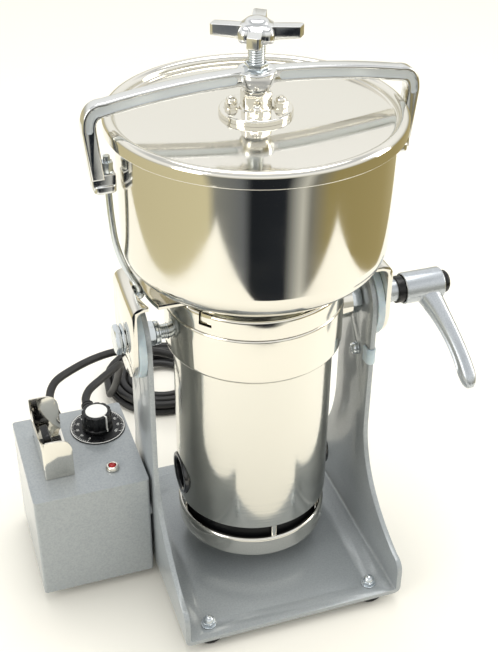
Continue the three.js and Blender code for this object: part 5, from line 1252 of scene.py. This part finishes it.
hand_over(make_lever(), "lever", "silver_paint", silver_lacquer, "clamp_lever")
button = turned("lever_button", [(0, 162.2), (9.4, 162.2), (9.4, 166.4, 1), (7.4, 168.4, 1), (0, 168.4)], 56)
hand_over(at_pivot(button), "lever", "black_plastic", black_moulding, "lever_cap")

# %% [markdown]
# The bowl is spun from sheet and buffed to a mirror: a flat floor, a generous round corner, a straight
# wall and a small lip. Inside it is as smooth as outside.

# %% Bowl and its neck
neck = turned("turned_neck", [
    (6.7, 283.6), (14.6, 283.6), (14.6, 264), (21.7, 264), (21.7, 277.6), (50, 277.6, 0.6), (50, 281.5, 0.8),
    (47.8, 286.3, 0.8), (6.7, 286.3)], 128, ring=True)
hand_over(neck, "grinder", "cast_aluminium", plated_steel, "bowl_neck")


def bowl_corner(radius, steps=14):
    angles = [math.pi / 2 * i / steps for i in range(steps + 1)]
    return [(76 + radius * math.sin(a), 310.6 - radius * math.cos(a)) for a in angles]


bowl = turned("spun_bowl", [
    (9, 286.6), *bowl_corner(24), (100, 395.7), (103.6, 395.7, 0.3), (103.6, 398.1, 0.6),
    (97.5, 398.1, 0.5), *reversed(bowl_corner(21.5)), (9, 289.1)], 192, ring=True)
hand_over(bowl, "grinder", "polished_steel", buffed_steel, "bowl")

# %% [markdown]
# The lid is pressed from one sheet. Its edge is rolled up and over into a bright bead that hides the
# bowl's lip, and the dish inside the bead is flat, with a soft bend where it meets the roll.

# %% Lid
lid_roll = [(103 + 4.4 * math.cos(a), 403.2 + 4.5 * math.sin(a)) for a in (math.pi * i / 16 for i in range(17))]
lid = turned("pressed_lid", [
    (0, 400.5), (94.9, 400.5), (94.9, 392.6), (96.9, 392.6), (96.9, 400.5), (104.8, 400.5), (104.8, 396.5),
    (107.4, 396.5, 0.7), *lid_roll, (97.6, 402.6, 1.2), (94, 402.9), (60, 403.3), (27, 403.2), (0, 403.2)],
    192, arc=5)
hand_over(lid, "grinder", "polished_steel", buffed_steel, "lid")

# %% [markdown]
# A turned flange in the lid's middle takes the spindle's end. It is held by small dome nuts, and a
# hexagonal socket stands in its middle. One nut with its washer is made for each place in the circle.

# %% Flange with dome nuts and socket
def make_flange():
    flange = turned("lid_boss", [
        (0, 403.3), (26.4, 403.3), (26.4, 406.2, 0.8), (25.4, 407.3, 0.6), (12.4, 407.3, 0.6),
        (11.6, 408.4, 0.5), (9, 408.6), (8.8, 420.3, 0.5), (6.4, 420.3, 0.3), (6.4, 411.3), (0, 411.3)], 96)
    socket = nut("boss_socket", 19.6, 407.6, 419.6, bore=screw_bore)
    nut_count, nut_circle = 4, 17.3
    nuts = []
    for i in range(nut_count):
        one = nut("boss_nut", 8.8, 407.9, 411.6, dome=True)
        one = joined(one, tube("boss_washer", 3, 5.6, 407.2, 408, 36, (0, 0.2)))
        at = round_axis(nut_circle, 360 / nut_count * i - 17)
        nuts.append(settle(one, at=at, turn=(0, 0, 17 * i)))
    return joined(flange, socket, *nuts)


hand_over(make_flange(), "grinder", "polished_steel", buffed_steel, "lid_flange")

# %% [markdown]
# A threaded spindle presses the lid down. It turns in a bushing with a hexagon that sits in the yoke.
# The thread is real, because it shows between yoke and knob.

# %% Spindle and bushing
hand_over(thread("cut_spindle", 411.8, 462), "knob", "plain_steel", plated_steel, "spindle")
bushing = joined(
    nut("bushing_hexagon", 14.8, 433.4, 439.5, bore=screw_bore),
    tube("bushing_shank", screw_bore, 8, 421.9, 434, 48, (0.3, 0)))
hand_over(bushing, "yoke_nut", "plain_steel", plated_steel, "yoke_insert")

# %% [markdown]
# The cross knob is cast: four arms run into each other with round webs, round a thick hub with a lobe
# between each two arms. The arms are a flat outline with a thickness, and a turned shape takes off
# what is too much above and below them.

# %% Cross knob
def cross_outline(reach, half, web, tip=2.2):
    """One quarter after the other: round an arm's tip, along its edge, and round the web to the next."""
    points = []
    for quarter in range(4):
        turn = math.radians(90 * quarter)
        local = [*arc(reach - tip, half - tip, tip, 0, 90, 5), (web, half),
                 *arc(web, web, web - half, 270, 180, 8), (half, web), (half, reach - tip)]
        points += [(x * math.cos(turn) - y * math.sin(turn), x * math.sin(turn) + y * math.cos(turn))
                   for x, y in local]
    return points


def make_cross_knob():
    knob = plate("knob_arms", cross_outline(31.4, 4.7, 13.0), 450, 475)
    side_shape = turned("arm_side", [
        (0, 456.4), (11, 456.6), (36, 459.2), (36, 466.4), (11, 465.8), (0, 465.8)], 96)
    carve(knob, side_shape, operation="INTERSECT")
    soften(knob, 0.6, 3, 40)
    hub = turned("knob_hub", [
        (6.2, 455.4), (11, 455.4, 1.2), (12.8, 457.6, 2), (13, 461.6, 2), (11.8, 465.6, 2),
        (9.4, 466.8, 1.2), (7.6, 469.6, 2), (4, 470.7, 1.4), (0, 470.7)], 80)
    lobe_outline = [(0, 455.4), (4.6, 455.4, 1.2), (5.8, 457.6, 1.6), (5.8, 462.4, 2.2), (3.6, 466, 2), (0, 466.4)]
    lobes = [settle(turned("knob_lobe", lobe_outline, 40), at=round_axis(9.6, 45 + 90 * i)) for i in range(4)]
    return settle(joined(knob, hub, *lobes), turn=(0, 0, math.degrees(-0.407)))


hand_over(make_cross_knob(), "knob", "polished_steel", chromed_casting, "cross_knob")

# %% [markdown]
# The yoke is a cast bow. Half of its outline is drawn and mirrored: the arm falls slightly from the
# middle, turns a round shoulder and leans inward down to the foot. The same outline can be drawn
# inset on all sides, which gives the border of the sunk panels.

# %% Outline of the yoke
arm_top, arm_thick, leg_thick, yoke_depth = 435.3, 10.4, 9.6, 10.5
yoke_half, foot_half, yoke_low, foot_top = 123.6, 119.9, 359.3, 373.2
shoulder_z = 422.0 - 16.0
arm_steps = (0, 16, 28, 42, 56, 70, 84, 96)


def arm_line(x, drop=0.0):
    """The slightly falling line of the arm, so far below its upper edge."""
    return arm_top - drop - 13.3 * (x / yoke_half) ** 2


def half_arm(inset):
    """The right half from the middle of the top round to the middle of the underside, all edges inset."""
    outer, inner = yoke_half - inset, yoke_half - leg_thick + inset
    turn_x, low_z, bend_z = inner - 6.4, foot_top - 4, arm_line(107.6, inset)
    under_z = arm_line(turn_x, arm_thick - inset)
    top = [(x, arm_line(x, inset)) for x in arm_steps]
    shoulder = corner_curve((107.6, bend_z), (outer, bend_z), (outer, shoulder_z), 14)
    low = [(foot_half - inset, low_z), (foot_half - leg_thick + inset, low_z)]
    corner = corner_curve((inner, shoulder_z), (inner, under_z), (turn_x, under_z), 8)
    under = [(x, arm_line(x, arm_thick - inset)) for x in reversed(arm_steps)]
    return top + shoulder, low, corner + under


over, low, beneath = half_arm(0)
right = over + low + beneath
yoke_outline = right + [(-x, z) for x, z in reversed(right[1:-1])]
print("yoke outline points", len(yoke_outline))

# %% [markdown]
# Both broad faces have a sunk panel in each arm, with a matt grey ground. A plate with the inset outline
# is subtracted on each side, and whatever lies flat at that depth afterwards takes the grey finish.
# The barrel in the middle is turned, and the feet are two bevelled blocks each.

# %% Yoke
def panel_outline(rim, start=17.0):
    """One arm's sunk panel: round at the middle of the yoke, and square in the shoulder."""
    over, _, beneath = half_arm(rim)
    upper = [p for p in over if p[0] > start]
    lower = [p for p in beneath if p[0] > start]
    end = [(over[-1][0] - 1.2, shoulder_z - 1.6), (beneath[0][0] + 1.2, shoulder_z - 1.6)]
    round_end = corner_curve(
        (start, arm_line(start, arm_thick - rim)), (start - 4, arm_line(start, arm_thick / 2)),
        (start, arm_line(start, rim)))
    return round_end + upper + end + lower


def make_bow():
    bow = to_front(plate("cast_yoke", yoke_outline, -yoke_depth / 2, yoke_depth / 2, edge=1.3, rounds=3))
    ground = yoke_depth / 2 - 1.4
    for side in (-1, 1):
        panel = [(side * x, z) for x, z in panel_outline(2.3)]
        for face in (-1, 1):
            depth = (face * ground, face * (yoke_depth / 2 + 3))
            carve(bow, to_front(paint(plate("panel_tool", panel, -max(depth), -min(depth)), recess_grey)))
    bow.data.materials.clear()
    paint(paint(bow, chromed_casting), recess_grey)
    for polygon in bow.data.polygons:
        flat = abs(polygon.normal.y) > 0.99 and abs(abs(polygon.center.y) - ground * mm) < 1e-5
        polygon.material_index = 1 if flat else 0
    return soften(bow, 0.35, 2, 50)


def make_yoke():
    parts = [make_bow()]
    barrel = turned("yoke_barrel", [
        (8.3, 421.8), (10, 421.8, 0.6), (11.8, 424.4, 2), (14, 430.6, 3), (14.3, 434, 1), (13.2, 435.3, 0.6),
        (10.6, 435.1, 0.5), (9.8, 433.2, 0.4), (8.3, 433.2)], 80, ring=True)
    parts.append(paint(barrel, chromed_casting))
    for side in (-1, 1):
        band_outline = rounded_rectangle(*sorted((side * 102.4, side * 118.6)), -6.4, 6.4, 4)
        band = plate("yoke_foot_band", band_outline, yoke_low, yoke_low + 6, edge=1)
        across = tuple(sorted((side * 102.6, side * 119.4)))
        foot = block("yoke_foot_block", across, (-4.9, 4.9), (362, foot_top), 1, 3)
        parts += [paint(band, chromed_casting), paint(foot, chromed_casting)]
    return joined(*parts)


hand_over(make_yoke(), "yoke", "cast_aluminium", chromed_casting, "yoke")

# %% [markdown]
# A tie rod hangs in each foot of the yoke and hooks into the bracket's slot below. It is a bent round
# bar with a nut on top and a head at the bottom. One is made on the right, and the left one is turned
# half round the mill's axis.

# %% Tie rods
rod_x, head_x = 107.8, 91.1
rod_route = smooth_route([
    (rod_x, 0, 385.5), (rod_x, 0, 373.2), (rod_x, 0, 356.8), (107.0, 0, 336.3), (105.0, 0, 316.2),
    (100.3, 0, 298.3), (96.1, 0, 288.4), (head_x, 0, 277.3), (head_x, 0, 270.2)], 2.5)


def make_rod(name, turn):
    head = turned(f"{name}_head", [
        (0, 268.3), (4.2, 268.3, 0.8), (5, 270, 0.6), (5, 272.7, 0.4), (0, 272.7)], 40)
    rod = swept(f"{name}_bar", rod_route, 2.5, 20)
    lock = nut(f"{name}_nut", 8, 373.6, 381.4)
    rod = joined(rod, settle(head, at=(head_x, 0, 0)), settle(lock, at=(rod_x, 0, 0)))
    return settle(rod, turn=(0, 0, turn))


for side, turn in (("right", 0), ("left", 180)):
    rod = make_rod(f"bent_rod_{side}", turn)
    hand_over(rod, "yoke", "plain_steel", plated_steel, f"tie_rod_{side}")
print(f"each rod {route_length(rod_route):.0f} mm long")

# %% [markdown]
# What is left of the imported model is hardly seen: the parts inside the motor, the blades in the bowl
# and the cover under the box. They keep their shape and get a real finish.

# %% Finishes for the pieces that stay
inner_finishes = {
    "box_cover": hammer_paint, "speed_control": board_green, "lower_bearing": plated_steel,
    "upper_bearing": plated_steel, "stator": winding_copper, "armature": core_iron, "fan": chromed_casting,
    "rotor_shaft": plated_steel, "lower_blade": buffed_steel, "upper_blade": buffed_steel,
    "blade_nut": plated_steel, "lid_gasket": seal_white,
}
for node, material in inner_finishes.items():
    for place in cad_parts[node].material_slots:
        place.material = material
print("kept pieces", len(inner_finishes))

# %% [markdown]
# The floor is plain and pale. Near the mill it is a table that the steel reflects. The floor further
# out is left out of reflections, so that the bowl shows the room there.

# %% Floor
def add_floor(name, middle, size, z, paper):
    clear()
    bpy.ops.mesh.primitive_plane_add(size=1, location=(*middle, z))
    floor = bpy.context.object
    floor.name = name
    bpy.ops.transform.resize(value=(*size, 1))
    bpy.ops.object.transform_apply(location=True, rotation=True, scale=True)
    paint(floor, paper)
    floor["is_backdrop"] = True
    print(name, "of", size, "m")
    return floor


paper = finish("pale_paper", "#f3f0e6", 0.65)
bumpy(paper, 0.02, 0.5, 30.0)
add_floor("pale_table", (0, 0.3), (1.1, 1.6), -0.0004, paper)
far_floor = add_floor("far_floor", (0, 2.0), (9, 9), -0.0008, paper)
far_floor.visible_glossy = False

# %% [markdown]
# Polished steel shows what stands around it, so the room matters as much as the lamps. A colour for
# each direction, below and above the horizon, gives the bowl broad soft bands: cream, dark and ochre,
# one beside the other, as at a workshop table.

# %% Room
def bands(room, value, stops):
    """A colour ramp from a list of (place, colour)."""
    made = add(room, "ShaderNodeValToRGB")
    ramp = made.color_ramp
    ramp.elements[0].position, ramp.elements[0].color = stops[0][0], linear(stops[0][1])
    ramp.elements[1].position, ramp.elements[1].color = stops[-1][0], linear(stops[-1][1])
    for place, code in stops[1:-1]:
        ramp.elements.new(place).color = linear(code)
    wire(room, value, made.inputs["Fac"])
    return made.outputs["Color"]


def add_room():
    room = bpy.data.worlds.new("room")
    bpy.context.scene.world = room
    room.use_nodes = True
    direction = add(room, "ShaderNodeTexCoord")
    parts = add(room, "ShaderNodeSeparateXYZ")
    wire(room, direction.outputs["Generated"], parts.inputs["Vector"])
    ahead = add(room, "ShaderNodeMath", operation="MULTIPLY")
    ahead.inputs[1].default_value = -1.0
    wire(room, parts.outputs["Y"], ahead.inputs[0])
    angle = add(room, "ShaderNodeMath", operation="ARCTAN2")
    wire(room, parts.outputs["X"], angle.inputs[0])
    wire(room, ahead.outputs["Value"], angle.inputs[1])
    round_about = spread(room, angle.outputs["Value"], 0.0, 1.0, -math.pi, math.pi)
    below = bands(room, round_about, [
        (0.0, "#c4ba97"), (0.34, "#d4cba6"), (0.36, "#84857f"), (0.42, "#6a6d70"), (0.44, "#1f2226"),
        (0.515, "#24272c"), (0.53, "#82837f"), (0.555, "#c6c5bc"), (0.575, "#7c7b73"), (0.62, "#998c5e"),
        (0.8, "#a39567"), (1.0, "#c4ba97")])
    height = spread(room, parts.outputs["Z"], 0.0, 1.0, -1.0, 1.0)
    above = bands(room, height, [
        (0.0, "#6b6a62"), (0.5, "#b9b6a8"), (0.56, "#c9c7bd"), (0.62, "#f1f1ec"), (0.8, "#ffffff"),
        (0.88, "#c4c6c8"), (1.0, "#f4f4f2")])
    lower_half = spread(room, parts.outputs["Z"], 1.0, 0.0, -0.1, 0.06)
    mix = add(room, "ShaderNodeMix", data_type="RGBA")
    wire(room, lower_half, mix.inputs["Factor"])
    wire(room, above, mix.inputs[6])
    wire(room, below, mix.inputs[7])
    sky = room.node_tree.nodes["Background"]
    wire(room, mix.outputs[2], sky.inputs["Color"])
    sky.inputs["Strength"].default_value = 1.1


add_room()
print("room made of", len(bpy.context.scene.world.node_tree.nodes), "shader nodes")

# %% [markdown]
# Three large soft lamps stand for windows and a ceiling. Their size makes the long, soft-edged
# highlights down the steel, and they are weak enough that the pale floor doesn't burn out.

# %% Lamps
def add_light(name, at, size, power, colour, target=(0, 0, 0.2)):
    data = bpy.data.lights.new(name, "AREA")
    data.shape = "RECTANGLE"
    data.size, data.size_y = size
    data.energy = power
    data.color = colour
    lamp = bpy.data.objects.new(name, data)
    bpy.context.collection.objects.link(lamp)
    lamp.location = at
    lamp.rotation_euler = (Vector(target) - Vector(at)).to_track_quat("-Z", "Y").to_euler()


add_light("left_window", (-1.6, -0.7, 1.0), (0.7, 1.3), 10, (1.0, 0.98, 0.95))
add_light("right_sheet", (1.7, -0.3, 0.8), (0.5, 1.3), 9, (1.0, 0.96, 0.88))
add_light("ceiling", (0.2, 0.4, 2.2), (1.6, 1.2), 22, (1.0, 0.99, 0.97))
bpy.context.scene.view_settings.view_transform = "Standard"
print("lamps", len(bpy.data.lights))

# %% [markdown]
# Last, the dressed model is measured, and its box printed as the imported one's was at the start. They
# should fill the same box, because a piece may be finer than the plain one that it replaces, but not larger.

# %% Finish
visual_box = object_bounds()
print_box("dressed model", visual_box)
